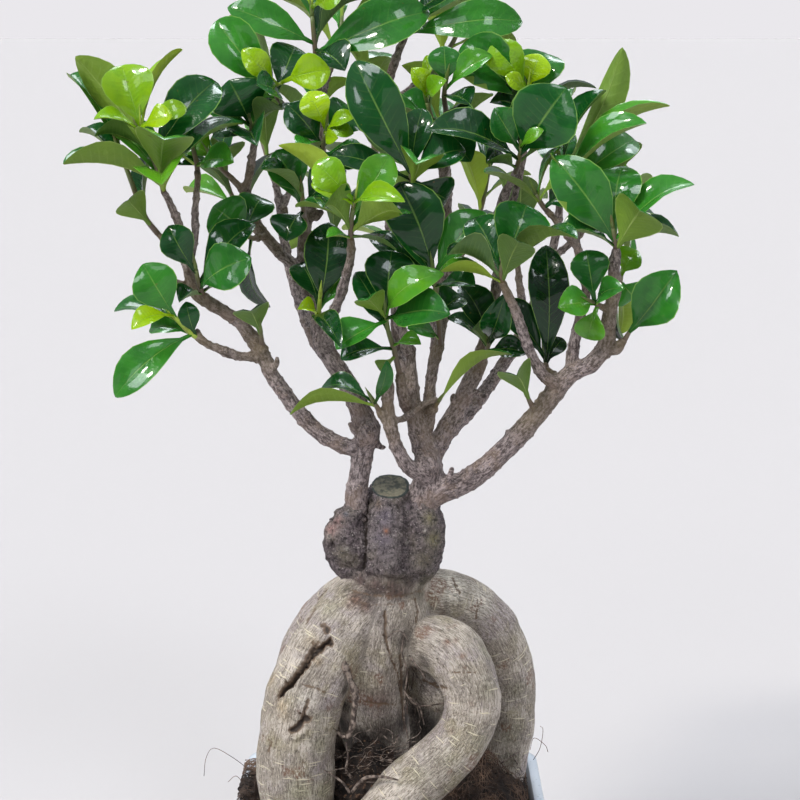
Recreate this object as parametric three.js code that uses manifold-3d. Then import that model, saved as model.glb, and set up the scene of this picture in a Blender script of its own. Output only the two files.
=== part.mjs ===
// Bonsai tree in a pot: a fig grafted on a swollen rootstock, in a square glazed pot.
// Millimetres, +Z up, front towards -Y, origin in the middle of the pot's flat foot.
//
// The pot, the soil, the rootstock, the two grafted scions and each leafy shoot are separate
// pieces. Limbs, shoots and leaves were traced on a front picture of the tree: a point is
// [column, row, depth], and `place` turns it into millimetres along that line of sight.
import * as THREE from 'three';
import Module from 'manifold-3d';

const wasm = await Module();
wasm.setup();

// ---- Driving sizes, in millimetres ----
const potWidth = 162;
const potHeight = 85;
const potFootWidth = 134;
const potWall = 5;
const potCorner = 15;
const soilTop = 80;
const moundHeight = 9;
const gap = 0.3; // between pieces that touch
const stemRadius = 1.45; // leafy stem at its base
const stemTipRadius = 1.05;
const youngRadius = 0.95;
const petiole = 6;
const petioleHalf = 1.15;
const bladeThickness = 1.3; // along the midrib
const fold = 0.26; // how far the blade's edges rise, for each millimetre of half width
const arch = 0.07; // how high the blade bows, for each millimetre of length
const clearance = 0.5; // kept round each leaf

// ---- The line of sight of the front picture ----
const picture = { lens: 1804, middle: 400, pitch: 11.4, distance: 902, aim: [4.25, 0, 302] };
const pitch = THREE.MathUtils.degToRad(picture.pitch);
const forward = new THREE.Vector3(0, Math.cos(pitch), -Math.sin(pitch));
const upward = new THREE.Vector3(0, Math.sin(pitch), Math.cos(pitch));
const eye = new THREE.Vector3(...picture.aim).addScaledVector(forward, -picture.distance);

function place([column, row, depth]) {
  const ray = forward.clone();
  ray.x += (column - picture.middle) / picture.lens;
  ray.addScaledVector(upward, (picture.middle - row) / picture.lens);
  return eye.clone().addScaledVector(ray, (depth - eye.y) / ray.y);
}

// ---- Closed shapes ----
function solid(positions, triangles) {
  const mesh = new wasm.Mesh({
    numProp: 3,
    vertProperties: new Float32Array(positions),
    triVerts: new Uint32Array(triangles),
  });
  return new wasm.Manifold(mesh);
}

// Skins a stack of rings that all have the same number of points, listed anticlockwise
// as seen from the far end, and closes both ends.
function loft(rings) {
  const sides = rings[0].length;
  const triangles = [];
  for (let ring = 0; ring < rings.length - 1; ring += 1) {
    for (let side = 0; side < sides; side += 1) {
      const next = (side + 1) % sides;
      const low = ring * sides;
      const high = low + sides;
      triangles.push(low + side, low + next, high + next);
      triangles.push(low + side, high + next, high + side);
    }
  }
  const last = (rings.length - 1) * sides;
  for (let side = 1; side < sides - 1; side += 1) {
    triangles.push(0, side + 1, side);
    triangles.push(last, last + side, last + side + 1);
  }
  return solid(rings.flat().flatMap((point) => point.toArray()), triangles);
}

// A round tube through the points, with a radius at each of them and a slightly uneven skin.
// startAlong gives the direction in which its first face looks back, where that isn't its own.
function tube(points, radii, { sides, spacing, uneven = 0, grow = 0, startAlong = null }) {
  const curve = new THREE.CatmullRomCurve3(points, false, 'catmullrom', 0.5);
  const rings = [];
  let across = null;
  for (let span = 0; span < points.length - 1; span += 1) {
    const length = points[span].distanceTo(points[span + 1]);
    const steps = Math.max(1, Math.round(length / spacing));
    const isLast = span === points.length - 2;
    for (let step = 0; step < steps + (isLast ? 1 : 0); step += 1) {
      const within = step / steps;
      const t = (span + within) / (points.length - 1);
      const centre = curve.getPoint(t);
      const along = t === 0 && startAlong ? startAlong.clone() : curve.getTangent(t);
      across = across ?? new THREE.Vector3(0.31, -0.9, 0.2);
      across.addScaledVector(along, -across.dot(along)).normalize();
      const third = along.clone().cross(across);
      const radius = THREE.MathUtils.lerp(radii[span], radii[span + 1], within) + grow;
      const ring = [];
      for (let side = 0; side < sides; side += 1) {
        const angle = (2 * Math.PI * side) / sides;
        const wave = Math.sin(3 * angle + 0.9 * (span + within)) + 0.6 * Math.sin(2 * angle + 1.7 * span);
        const reach = radius * (1 + uneven * wave);
        ring.push(centre.clone()
          .addScaledVector(across, reach * Math.cos(angle))
          .addScaledVector(third, reach * Math.sin(angle)));
      }
      rings.push(ring);
    }
  }
  return loft(rings);
}

// A tube traced on the front picture: [column, row, depth, radius] points.
const traced = (trace, options) => tube(trace.map(place), trace.map((point) => point[3]), options);

const fuse = (bodies) => bodies.reduce((sum, body) => sum.add(body));

const group = new THREE.Group();

function piece(name, body, { color, roughness, metalness = 0 }) {
  const { vertProperties, triVerts } = body.getMesh();
  const geometry = new THREE.BufferGeometry();
  geometry.setAttribute('position', new THREE.BufferAttribute(vertProperties, 3));
  geometry.setIndex(new THREE.BufferAttribute(triVerts, 1));
  const mesh = new THREE.Mesh(geometry, new THREE.MeshStandardMaterial({ color, roughness, metalness }));
  mesh.name = name;
  group.add(mesh);
}

const glaze = { color: 0xcbd6de, roughness: 0.2 };
const earth = { color: 0x3a2a20, roughness: 0.95 };
const rootBark = { color: 0xa79c8a, roughness: 0.75 };
const limbBark = { color: 0x6f6263, roughness: 0.8 };
const matureLeaf = { color: 0x1f5a2a, roughness: 0.25 };
const youngLeaf = { color: 0x9cc21c, roughness: 0.3 };

// ---- Pot: one glazed ceramic shell with rounded corners and two drain holes ----
const cornerSteps = 4;

function roundedSquare(width, corner, z) {
  const ring = [];
  for (let quarter = 0; quarter < 4; quarter += 1) {
    const turn = (quarter * Math.PI) / 2;
    const middle = new THREE.Vector3(width / 2 - corner, width / 2 - corner, z);
    middle.applyAxisAngle(new THREE.Vector3(0, 0, 1), turn);
    for (let step = 0; step <= cornerSteps; step += 1) {
      const angle = turn + (step / cornerSteps) * (Math.PI / 2);
      ring.push(new THREE.Vector3(
        middle.x + corner * Math.cos(angle),
        middle.y + corner * Math.sin(angle),
        z,
      ));
    }
  }
  return ring;
}

const potLip = 3; // how far the rim band stands out
const lipHeight = 12;
const potFloor = 8;
const footBevel = 2.5;
const drainRadius = 7;
const drainOffset = 28;

const potOutside = loft([
  roundedSquare(potFootWidth - 2 * footBevel, potCorner - 2, 0),
  roundedSquare(potFootWidth, potCorner, footBevel),
  roundedSquare(potWidth - 2 * potLip, potCorner, potHeight - lipHeight - potLip),
  roundedSquare(potWidth, potCorner, potHeight - lipHeight),
  roundedSquare(potWidth, potCorner, potHeight - 1),
  roundedSquare(potWidth - 2, potCorner - 1, potHeight),
]);

// The space inside the walls, a little smaller for what fills it.
function potInside(shrink, top) {
  const slope = (potWidth - potFootWidth - 2 * potLip) / (potHeight - lipHeight);
  const widthAt = (z) => potFootWidth + slope * z - 2 * potWall - 2 * shrink;
  return loft([potFloor + shrink, top].map((z) => roundedSquare(widthAt(z), potCorner - potWall, z)));
}

const drainHoles = [-drainOffset, drainOffset].map((x) => tube(
  [new THREE.Vector3(x, 0, -5), new THREE.Vector3(x, 0, potFloor + 5)],
  [drainRadius, drainRadius],
  { sides: 12, spacing: 100 },
));

piece('pot', potOutside.subtract(potInside(0, potHeight + 5)).subtract(fuse(drainHoles)), glaze);

// ---- Rootstock: swollen roots, neck and sawn stock, grown as one piece ----
// Each root is [column, row, depth, radius] from the neck down into the soil.
const roots = {
  frontLeft: [[378, 590, -4, 15], [354, 612, -9, 17.5], [331, 645, -15, 19], [307, 690, -21, 20],
    [297, 740, -24, 20], [298, 790, -23, 19.5], [314, 826, -18, 13], [330, 850, -14, 8]],
  backLeft: [[372, 590, 6, 12], [338, 606, 16, 14], [310, 650, 24, 15], [296, 712, 24, 14],
    [290, 768, 28, 11], [292, 812, 32, 7]],
  middle: [[386, 594, -2, 20], [374, 634, -4, 21.5], [370, 684, -2, 20], [376, 735, 2, 17],
    [380, 785, 3, 13], [381, 825, 2, 9]],
  loop: [[420, 646, 2, 12], [437, 645, -11, 15.5], [457, 658, -20, 16], [471, 688, -26, 14.5],
    [470, 716, -29, 14], [457, 742, -32, 14], [432, 768, -35, 14.5], [404, 793, -38, 14.5],
    [376, 822, -40, 13], [352, 850, -40, 9]],
  rightArch: [[400, 592, 6, 14], [440, 595, 15, 14.5], [476, 610, 25, 14], [501, 645, 33, 14],
    [511, 690, 37, 13.5], [509, 736, 36, 12.5], [503, 780, 35, 11], [498, 815, 34, 8]],
  back: [[388, 592, 12, 14], [376, 604, 32, 16], [356, 640, 48, 17], [345, 692, 50, 15],
    [352, 742, 54, 13], [364, 786, 56, 8]],
  backRight: [[404, 598, 12, 13], [428, 618, 34, 13], [440, 660, 50, 12.5], [432, 708, 58, 11],
    [444, 752, 58, 10], [452, 792, 56, 7]],
};
const stock = [[389, 606, 0, 21], [388, 585, 0, 20.5], [386, 560, 0, 24], [385, 535, -1, 27],
  [390, 508, -1, 25.5], [391, 487, 0, 21.5]];
const callus = [[352, 500, -8, 8], [344, 520, -8, 11], [341, 545, -6, 11.5], [352, 566, -4, 9]];
const shoulder = [[428, 492, -3, 7], [432, 515, -3, 10], [430, 545, -2, 10], [420, 566, 0, 9]];
const thinRoot = [[346, 655, -18, 3], [346, 672, -28, 2.6], [353, 697, -32, 2.4], [350, 722, -33, 2.2],
  [342, 745, -34, 2]];

// The stock was sawn off slanting down to the front right, where the scions were grafted.
function sawCut() {
  const centre = place([391, 483, 0]);
  const normal = new THREE.Vector3(0.1, -0.58, 1).normalize();
  const high = centre.clone().addScaledVector(normal, 60);
  return tube([centre, high], [60, 60], { sides: 8, spacing: 100 });
}

function rootstockBody(grow) {
  const options = { sides: 8, spacing: 20, uneven: 0.035, grow };
  const bodies = Object.values(roots).map((trace) => traced(trace, options));
  bodies.push(traced(stock, { sides: 11, spacing: 13, uneven: 0.03, grow }));
  bodies.push(traced(callus, { sides: 7, spacing: 12, uneven: 0.08, grow }));
  bodies.push(traced(shoulder, { sides: 7, spacing: 12, uneven: 0.08, grow }));
  bodies.push(traced(thinRoot, { sides: 5, spacing: 12, grow }));
  return fuse(bodies).subtract(sawCut());
}

// ---- Limbs: the wood of the two scions, [column, row, depth, radius] from the graft outwards ----
const limbs = {
  left: {
    trunk: [[361, 524, -7, 5], [356, 500, -8, 5.8], [360, 470, -8, 5.4], [364, 446, -8, 5.6],
      [367, 431, -8, 7.4], [360, 410, -8, 5.6], [348, 385, -8, 5.0], [332, 360, -9, 4.7],
      [324, 344, -9, 4.5], [318, 324, -10, 4.2]],
    outer: [[366, 450, -8, 4.6], [342, 445, -10, 4.3], [314, 428, -12, 4.0], [291, 402, -14, 3.9],
      [272, 375, -16, 3.8], [262, 353, -17, 3.7], [240, 323, -19, 3.3], [215, 306, -21, 3.1],
      [197, 294, -23, 3.0], [188, 270, -25, 2.5], [181, 232, -28, 2.2], [171, 205, -31, 1.9],
      [164, 193, -32, 1.7]],
    inner: [[326, 348, -8, 3.6], [314, 310, -2, 3.6], [302, 274, 4, 3.5], [283, 256, 8, 3.0],
      [264, 234, 9, 2.8], [252, 212, 9, 2.6], [246, 195, 8, 2.5], [250, 170, 6, 2.0], [254, 146, 4, 1.7]],
    leader: [[306, 282, 4, 3.2], [303, 248, 10, 3.0], [309, 214, 14, 2.7], [318, 182, 16, 2.4],
      [321, 140, 17, 2.2], [319, 95, 17, 2.0], [316, 58, 16, 1.8]],
    rear: [[330, 362, -6, 3.4], [312, 335, 22, 3.2], [296, 290, 46, 2.9], [284, 240, 62, 2.5],
      [278, 195, 72, 2.1], [270, 165, 78, 1.8]],
  },
  right: {
    trunk: [[424, 512, -6, 6], [431, 488, -7, 6.6], [429, 463, -6, 6.8], [422, 440, -5, 6],
      [414, 412, -4, 5.4], [411, 392, -4, 5.2], [411, 363, -2, 3.8], [409, 349, 0, 3.4],
      [401, 326, 2, 3.0]],
    outer: [[434, 496, -7, 6], [444, 490, -9, 6.3], [470, 479, -11, 5.8], [497, 457, -14, 5.4],
      [523, 430, -17, 5.2], [547, 402, -19, 5.0], [569, 375, -21, 4.6], [590, 364, -23, 4.3],
      [605, 346, -25, 4.2], [609, 318, -27, 3.7], [614, 290, -29, 3.5], [614, 266, -31, 3.0],
      [616, 252, -32, 2.5]],
    front: [[428, 478, -9, 5.4], [410, 468, -16, 4.6], [397, 448, -20, 4.2], [390, 422, -22, 3.9],
      [388, 402, -23, 3.7], [388, 387, -23, 3.4]],
    mid: [[420, 440, -5, 4.6], [431, 418, -2, 4.2], [432, 388, 2, 3.8], [435, 362, 4, 3.4],
      [438, 346, 5, 3.1]],
    heavy: [[427, 470, -4, 5.6], [440, 441, 0, 5.2], [456, 413, 4, 5.0], [468, 386, 7, 4.6],
      [478, 364, 9, 4.2], [488, 330, 9, 3.2], [496, 290, 7, 2.8], [500, 250, 3, 2.5],
      [498, 216, -3, 2.3], [506, 192, -9, 2.0], [515, 174, -14, 1.7]],
    leader: [[412, 396, -2, 4.4], [400, 360, 14, 4.0], [396, 310, 28, 3.6], [393, 250, 36, 3.2],
      [387, 190, 38, 2.8], [384, 130, 34, 2.5], [390, 78, 28, 2.2], [405, 36, 22, 1.8]],
    rear: [[428, 452, 0, 4.8], [424, 410, 30, 4.2], [428, 360, 54, 3.6], [438, 300, 72, 3.1],
      [446, 240, 84, 2.6], [448, 190, 90, 2.1], [446, 160, 92, 1.8]],
    rearRight: [[448, 432, 2, 4.2], [478, 400, 26, 3.8], [512, 350, 48, 3.3], [540, 290, 62, 2.8],
      [556, 235, 70, 2.3], [560, 200, 72, 1.9]],
  },
};

// ---- Leafy shoots ----
// wood: a twig of the scion, ending where the leafy stem starts. stem: that stem's course to its bud.
// leaves: [place on the stem, column and row of the tip, how far the tip stands nearer the viewer,
// width, turn], where turn 0 shows the top face, 180 the underside and +-90 the edge.
// more: leaves set by the spiral rule. young: the light green tip of the shoot.
const shoots = [
  {
    name: 'left_top', scion: 'left', wood: [],
    from: limbs.left.outer, stem: [[158, 170, -36], [142, 137, -40]],
    leaves: [[0.03, 160, 176, 40, 27, 180], [0.15, 63, 164, 5, 22, 98], [0.25, 111, 127, -4, 24, 50],
      [0.32, 166, 130, 36, 28, 176], [0.3, 238, 116, 10, 23, -66], [0.7, 216, 80, -22, 25, -8],
      [0.8, 76, 56, -10, 23, 164]],
    more: { count: 2, length: 34, start: 120 },
    young: {
      stem: [[141, 126, -41]],
      leaves: [[0.6, 121, 65, -6, 27, 4], [0.5, 95, 116, 8, 11, 62], [0.7, 172, 116, 8, 13, -40],
        [0.9, 186, 106, 2, 10, -20], [0.5, 180, 48, -12, 15, -88]],
    },
  },
  {
    name: 'left_side', scion: 'left',
    wood: [[187, 264, -25, 2.0], [172, 248, -27, 1.8], [158, 234, -28, 1.6]],
    stem: [[144, 215, -29], [130, 178, -31], [118, 146, -33]],
    leaves: [[0.15, 128, 200, 18, 17, 180], [0.9, 68, 75, -4, 24, 40]],
    more: { count: 2, length: 38, start: 60 },
  },
  {
    name: 'left_middle', scion: 'left',
    wood: [[189, 266, -25, 2.0], [195, 238, -20, 1.9], [195, 212, -16, 1.8], [198, 174, -12, 1.6]],
    stem: [[196, 160, -11], [191, 142, -10]],
    leaves: [[0.3, 232, 160, 14, 18, -50], [0.5, 178, 108, -10, 22, 20]],
    more: { count: 2, length: 36, start: 200 },
  },
  {
    name: 'left_low', scion: 'left',
    wood: [[262, 357, -17, 2.6], [240, 356, -22, 2.3], [216, 348, -26, 2.1], [198, 338, -29, 1.9]],
    stem: [[188, 331, -31], [172, 314, -35]],
    leaves: [[0.9, 143, 264, 4, 23, 0], [0.95, 133, 325, 16, 13, 40], [0.3, 115, 397, 14, 20, 24],
      [0.1, 186, 302, 2, 11, 0], [0.35, 150, 328, -4, 18, 40]],
    more: { count: 2, length: 34, start: 150 },
  },
  {
    name: 'left_inner', scion: 'left',
    wood: [[211, 303, -21, 2.3], [204, 296, -26, 2.1]],
    stem: [[199, 284, -30], [196, 270, -33]],
    leaves: [[0.9, 169, 226, -2, 20, 0], [0.5, 251, 221, -2, 22, -42], [0.35, 246, 258, 12, 24, -20],
      [0.15, 236, 280, 16, 20, -60], [0.1, 179, 301, 20, 14, 60]],
    more: { count: 1, length: 36, start: 260 },
  },
  {
    name: 'left_spur', scion: 'left',
    wood: [[262, 355, -17, 2.4], [262, 345, -21, 1.9]],
    stem: [[261, 334, -25]],
    leaves: [[0.9, 250, 309, 16, 19, 176]],
    more: { count: 0, length: 26, start: 0 },
  },
  {
    name: 'inner_side', scion: 'left',
    wood: [[266, 236, 9, 2.0], [258, 238, 2, 1.8]],
    stem: [[250, 238, -4], [243, 232, -8]],
    leaves: [[0.5, 213, 206, 0, 25, 0], [0.1, 230, 240, 8, 18, 112], [0.9, 262, 196, -4, 20, -10],
      [0.4, 262, 308, 12, 17, 64]],
    more: { count: 0, length: 34, start: 30 },
  },
  {
    name: 'inner_top', scion: 'left', wood: [],
    from: limbs.left.inner, stem: [[252, 132, 1], [249, 118, -2]],
    leaves: [[0.8, 229, 80, 6, 30, 8], [0.6, 283, 108, 20, 20, -130], [0.5, 257, 145, 34, 24, 0],
      [0.4, 214, 132, 10, 20, 60], [0.7, 204, 104, 4, 18, 40]],
    more: { count: 2, length: 38, start: 100 },
  },
  {
    name: 'inner_fork', scion: 'left',
    wood: [[248, 202, 9, 2.0], [240, 187, 6, 1.9], [228, 175, 2, 1.7]],
    stem: [[219, 166, -2], [213, 158, -4]],
    leaves: [[0.2, 226, 148, 20, 20, 176], [0.9, 190, 146, 4, 18, 30]],
    more: { count: 2, length: 34, start: 200 },
  },
  {
    name: 'upper_left', scion: 'left',
    wood: [[320, 160, 16, 2.0], [300, 128, 8, 1.8], [286, 108, 3, 1.6]],
    stem: [[276, 96, 0], [272, 88, -2]],
    leaves: [[0.7, 216, 20, -6, 27, 2], [0.2, 258, 84, 16, 17, 70], [0.8, 232, 16, -26, 20, 100],
      [0.6, 296, 44, -16, 22, 0], [0.4, 240, 102, 6, 18, 50]],
    more: { count: 1, length: 38, start: 20 },
    young: {
      stem: [[283, 82, -3]],
      leaves: [[0.5, 244, 50, 4, 14, 10], [0.9, 330, 70, 6, 19, -10], [0.7, 277, 70, 0, 6, 0],
        [0.95, 292, 70, 2, 6, 0]],
    },
  },
  {
    name: 'top_left', scion: 'left', wood: [],
    from: limbs.left.leader, stem: [[314, 38, 14], [312, 16, 12]],
    leaves: [[0.35, 228, 6, 4, 20, 22], [0.1, 427, 8, 6, 28, -18], [0.4, 358, -6, 6, 16, -120],
      [0.8, 298, -14, 0, 12, 30], [0.2, 345, 70, 12, 22, -30]],
    more: { count: 2, length: 40, start: 80 },
    young: { stem: [[312, 4, 11]], leaves: [[0.7, 346, -14, 4, 15, -10], [0.8, 300, -16, -4, 9, 20]] },
  },
  {
    name: 'front_upper', scion: 'left',
    wood: [[313, 205, 14, 2.0], [318, 180, 2, 1.8], [321, 160, -8, 1.6]],
    stem: [[323, 146, -13], [325, 134, -16]],
    leaves: [[0.4, 287, 104, 0, 20, 10], [0.2, 364, 158, 14, 16, -20], [0.5, 352, 106, -14, 22, 0]],
    more: { count: 2, length: 32, start: 300 },
    young: {
      stem: [[326, 126, -17]],
      leaves: [[0.6, 308, 92, 2, 16, 0], [0.5, 355, 114, 6, 9, -30], [0.3, 353, 132, 8, 8, -20],
        [0.2, 337, 138, 14, 8, 20]],
    },
  },
  {
    name: 'front', scion: 'left',
    wood: [[330, 356, -9, 3.0], [328, 328, -14, 2.8], [340, 296, -24, 2.5], [347, 274, -30, 2.3],
      [351, 256, -35, 2.1], [351, 240, -38, 1.9]],
    stem: [[351, 224, -42], [353, 208, -47]],
    leaves: [[0.25, 404, 206, 22, 25, -140], [0.3, 322, 200, 20, 20, 146], [0.5, 296, 204, 8, 19, 76],
      [0.05, 327, 236, 8, 9, 60], [0.1, 397, 250, 10, 18, -84], [0.75, 390, 155, -2, 19, 0],
      [0.45, 280, 144, -4, 20, 104]],
    more: { count: 2, length: 34, start: 90 },
    young: {
      stem: [[355, 198, -50]],
      leaves: [[0.7, 316, 162, 2, 17, 10], [0.3, 312, 183, 20, 12, 30], [0.6, 401, 198, 10, 13, -40]],
    },
  },
  {
    name: 'inner_dark', scion: 'left',
    wood: [[306, 234, 12, 2.0], [304, 216, 0, 1.7]],
    stem: [[303, 204, -8], [302, 192, -13]],
    leaves: [[0.7, 276, 150, 2, 23, 10], [0.2, 286, 240, 10, 22, 30], [0.4, 344, 170, -4, 20, -20]],
    more: { count: 2, length: 36, start: 160 },
  },
  {
    name: 'stub_shoot', scion: 'left', wood: [],
    from: limbs.left.trunk, stem: [[319, 310, -12], [320, 298, -15]],
    leaves: [[0.7, 329, 222, -6, 24, 0], [0.5, 340, 277, 10, 12, -10], [0.3, 299, 308, 10, 11, 50],
      [0.3, 340, 343, 22, 14, -20], [0.6, 300, 262, -8, 20, 10]],
    more: { count: 1, length: 34, start: 100 },
  },
  {
    name: 'center_low', scion: 'right',
    wood: [[409, 410, -8, 3.6], [403, 396, -14, 3.0], [400, 376, -18, 2.6]],
    stem: [[394, 350, -24], [388, 330, -29], [386, 314, -33]],
    leaves: [[0.95, 392, 250, -8, 25, 4], [0.97, 438, 272, 16, 19, -34], [0.9, 445, 309, 22, 24, -40],
      [0.92, 366, 296, 18, 16, 160], [0.85, 336, 348, 12, 19, 30], [0.35, 341, 357, 8, 16, 40],
      [0.25, 382, 372, 14, 11, 150], [0.4, 421, 344, 8, 10, -40]],
    more: { count: 1, length: 36, start: 180 },
  },
  {
    name: 'center_foot', scion: 'right',
    wood: [[388, 420, -22, 3.0], [380, 412, -24, 2.2]],
    stem: [[374, 402, -27]],
    leaves: [[0.6, 289, 408, 18, 18, 104], [0.8, 322, 384, 2, 19, 60], [0.9, 388, 364, 0, 9, 30]],
    more: { count: 0, length: 30, start: 0 },
  },
  {
    name: 'long_leaf', scion: 'right',
    wood: [[428, 412, -3, 3.0], [434, 408, -10, 2.2]],
    stem: [[438, 402, -14]],
    leaves: [[0.8, 505, 345, 10, 16, -102]],
    more: { count: 0, length: 30, start: 0 },
  },
  {
    name: 'center_front', scion: 'right',
    wood: [[436, 360, 4, 2.8], [440, 346, 0, 2.2]],
    stem: [[439, 326, -8], [436, 300, -18], [435, 284, -23], [433, 270, -26]],
    leaves: [[0.08, 408, 328, 14, 14, 50], [0.95, 399, 182, -2, 29, 4],
      [0.8, 389, 214, 3, 18, 30], [0.7, 369, 232, 6, 15, 20], [0.9, 486, 212, -4, 22, -20],
      [0.7, 474, 284, 14, 18, -50], [0.35, 462, 297, -6, 20, -30]],
    more: { count: 1, length: 38, start: 10 },
  },
  {
    name: 'center_upper', scion: 'right',
    wood: [[400, 330, 2, 2.8], [402, 280, -6, 2.5], [406, 230, -14, 2.2], [410, 196, -20, 1.9]],
    stem: [[411, 180, -24], [411, 168, -27]],
    leaves: [[0.75, 355, 61, 2, 27, 2], [0.5, 331, 152, 6, 15, 40], [0.3, 418, 158, 30, 23, 180],
      [0.6, 464, 148, 8, 22, -30], [0.8, 362, 118, -16, 20, 150], [0.5, 448, 200, -6, 22, 0]],
    more: { count: 1, length: 38, start: 140 },
  },
  {
    name: 'mid_leader', scion: 'right',
    wood: [[438, 348, 5, 2.8], [446, 300, 12, 2.5], [450, 250, 15, 2.3], [445, 190, 13, 2.1],
      [437, 140, 8, 1.8]],
    stem: [[432, 120, 4], [427, 102, 0]],
    leaves: [[0.3, 400, 96, -6, 20, 10], [0.5, 474, 130, 6, 20, -40], [0.1, 470, 160, 4, 24, -20]],
    more: { count: 2, length: 36, start: 230 },
    young: { stem: [[426, 92, -2]], leaves: [[0.5, 412, 68, 4, 12, 20], [0.7, 428, 54, 0, 7, 10],
      [0.6, 444, 80, 6, 12, -30]] },
  },
  {
    name: 'mid_side', scion: 'right',
    wood: [[444, 172, 12, 2.0], [450, 138, 6, 1.8], [446, 110, 0, 1.6]],
    stem: [[444, 96, -4], [446, 82, -8]],
    leaves: [[0.8, 444, 46, 10, 17, 0], [0.7, 491, 54, 8, 15, -30], [0.5, 470, 104, 12, 18, -60]],
    more: { count: 2, length: 34, start: 330 },
  },
  {
    name: 'top_right', scion: 'right', wood: [],
    from: limbs.right.leader, stem: [[411, 16, 19], [417, -2, 17]],
    leaves: [[0.05, 521, 17, 8, 21, -22], [0.4, 456, -10, 6, 16, -40], [0.3, 366, 18, 12, 22, 30]],
    more: { count: 4, length: 40, start: 45 },
  },
  {
    name: 'upper_right', scion: 'right',
    wood: [[500, 240, 2, 2.2], [516, 190, 8, 2.0], [524, 150, 8, 1.8], [527, 122, 6, 1.6]],
    stem: [[528, 108, 4], [527, 96, 2]],
    leaves: [[0.8, 463, 43, -6, 32, 6], [0.6, 548, 52, -10, 26, -10], [0.3, 492, 100, 10, 18, 40]],
    more: { count: 3, length: 40, start: 75 },
    young: {
      stem: [[528, 88, 0]],
      leaves: [[0.6, 494, 42, 4, 19, 0], [0.8, 540, 54, 0, 16, 0], [0.5, 506, 76, 10, 9, 30],
        [0.3, 536, 98, 12, 7, 0]],
    },
  },
  {
    name: 'right_front', scion: 'right', wood: [],
    from: limbs.right.heavy, stem: [[519, 160, -18], [521, 146, -22]],
    leaves: [[0.7, 566, 88, 14, 35, -4], [0.5, 431, 126, 10, 24, 44], [0.8, 494, 108, -2, 20, 10],
      [0.2, 486, 163, 10, 16, 76], [0.4, 562, 140, 16, 16, -90], [0.98, 541, 130, 8, 7, -30]],
    more: { count: 1, length: 36, start: 190 },
  },
  {
    name: 'right_upper', scion: 'right',
    wood: [[570, 374, -20, 3.2], [574, 346, -20, 3.0], [580, 318, -18, 2.7], [586, 290, -16, 2.4],
      [580, 262, -14, 2.2], [574, 225, -12, 2.0], [568, 192, -12, 1.7]],
    stem: [[564, 176, -12], [560, 160, -12]],
    leaves: [[0.6, 624, 50, -14, 18, 160], [0.8, 606, 90, -8, 18, -60], [0.5, 667, 101, 0, 17, -74],
      [0.3, 644, 121, 8, 20, -56], [0.2, 636, 136, 0, 20, -20]],
    more: { count: 3, length: 38, start: 210 },
  },
  {
    name: 'right_end', scion: 'right', wood: [],
    from: limbs.right.outer, stem: [[615, 240, -34], [613, 228, -36]],
    leaves: [[0.4, 555, 157, 0, 28, 6], [0.7, 622, 164, -10, 26, -6], [0.5, 690, 179, 4, 20, -50],
      [0.1, 643, 207, 32, 27, 172], [0.15, 678, 232, 8, 18, -66], [0.2, 560, 230, 8, 20, 56],
      [0.6, 652, 177, -22, 18, -70]],
    more: { count: 1, length: 36, start: 20 },
  },
  {
    name: 'right_inner', scion: 'right',
    wood: [[562, 386, -20, 3.4], [546, 378, -24, 3.0], [536, 364, -26, 2.8], [526, 342, -29, 2.6],
      [516, 312, -32, 2.4], [508, 294, -34, 2.2], [503, 284, -35, 2.0]],
    stem: [[501, 272, -38], [503, 262, -41]],
    leaves: [[0.7, 527, 204, -8, 31, 4], [0.2, 449, 249, 8, 20, 118], [0.3, 573, 226, 12, 21, -112],
      [0.1, 519, 242, 32, 19, 176], [0.05, 440, 270, 8, 15, 80], [0.5, 474, 216, -10, 22, 10]],
    more: { count: 1, length: 36, start: 0 },
  },
  {
    name: 'right_fork', scion: 'right',
    wood: [[564, 380, -20, 3.0], [553, 376, -14, 2.4], [547, 370, -10, 1.9]],
    stem: [[545, 358, -8]],
    leaves: [[0.6, 546, 247, 2, 21, 0], [0.5, 563, 338, 2, 10, -10], [0.9, 500, 300, -4, 19, 20]],
    more: { count: 0, length: 40, start: 0 },
  },
  {
    name: 'right_spur', scion: 'right',
    wood: [[611, 312, -27, 2.4], [600, 306, -31, 1.9]],
    stem: [[594, 303, -34]],
    leaves: [[0.6, 560, 306, 10, 18, 20], [0.9, 586, 250, -2, 20, 10], [0.3, 588, 340, 0, 18, 0]],
    more: { count: 1, length: 32, start: 0 },
  },
  {
    name: 'right_lone', scion: 'right',
    wood: [[605, 348, -25, 3.4], [615, 349, -27, 3.0], [624, 341, -29, 1.8]],
    stem: [[630, 331, -31]],
    leaves: [[0.9, 675, 273, 14, 28, 0]],
    more: { count: 0, length: 30, start: 0 },
  },
  {
    name: 'right_behind', scion: 'right',
    wood: [[613, 296, -28, 2.2], [618, 290, -20, 1.8]],
    stem: [[620, 282, -12], [622, 272, -6]],
    leaves: [[0.2, 622, 342, 4, 15, 60], [0.5, 634, 298, 8, 18, 0], [0.8, 636, 250, 2, 18, -30]],
    more: { count: 2, length: 36, start: 120 },
  },
  {
    name: 'right_under', scion: 'right',
    wood: [[540, 412, -19, 2.2], [532, 406, -22, 1.7]],
    stem: [[528, 398, -24]],
    leaves: [[0.8, 516, 374, 20, 21, 180]],
    more: { count: 0, length: 30, start: 0 },
  },
  {
    name: 'right_mid', scion: 'right',
    wood: [[577, 248, -13, 2.0], [560, 226, -16, 1.8], [548, 212, -18, 1.6]],
    stem: [[540, 202, -19], [536, 194, -20]],
    leaves: [[0.6, 556, 154, 12, 15, 112], [0.4, 484, 172, 8, 17, 96], [0.2, 574, 190, 10, 20, -20]],
    more: { count: 2, length: 36, start: 250 },
  },
  {
    name: 'heavy_spur', scion: 'right',
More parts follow.
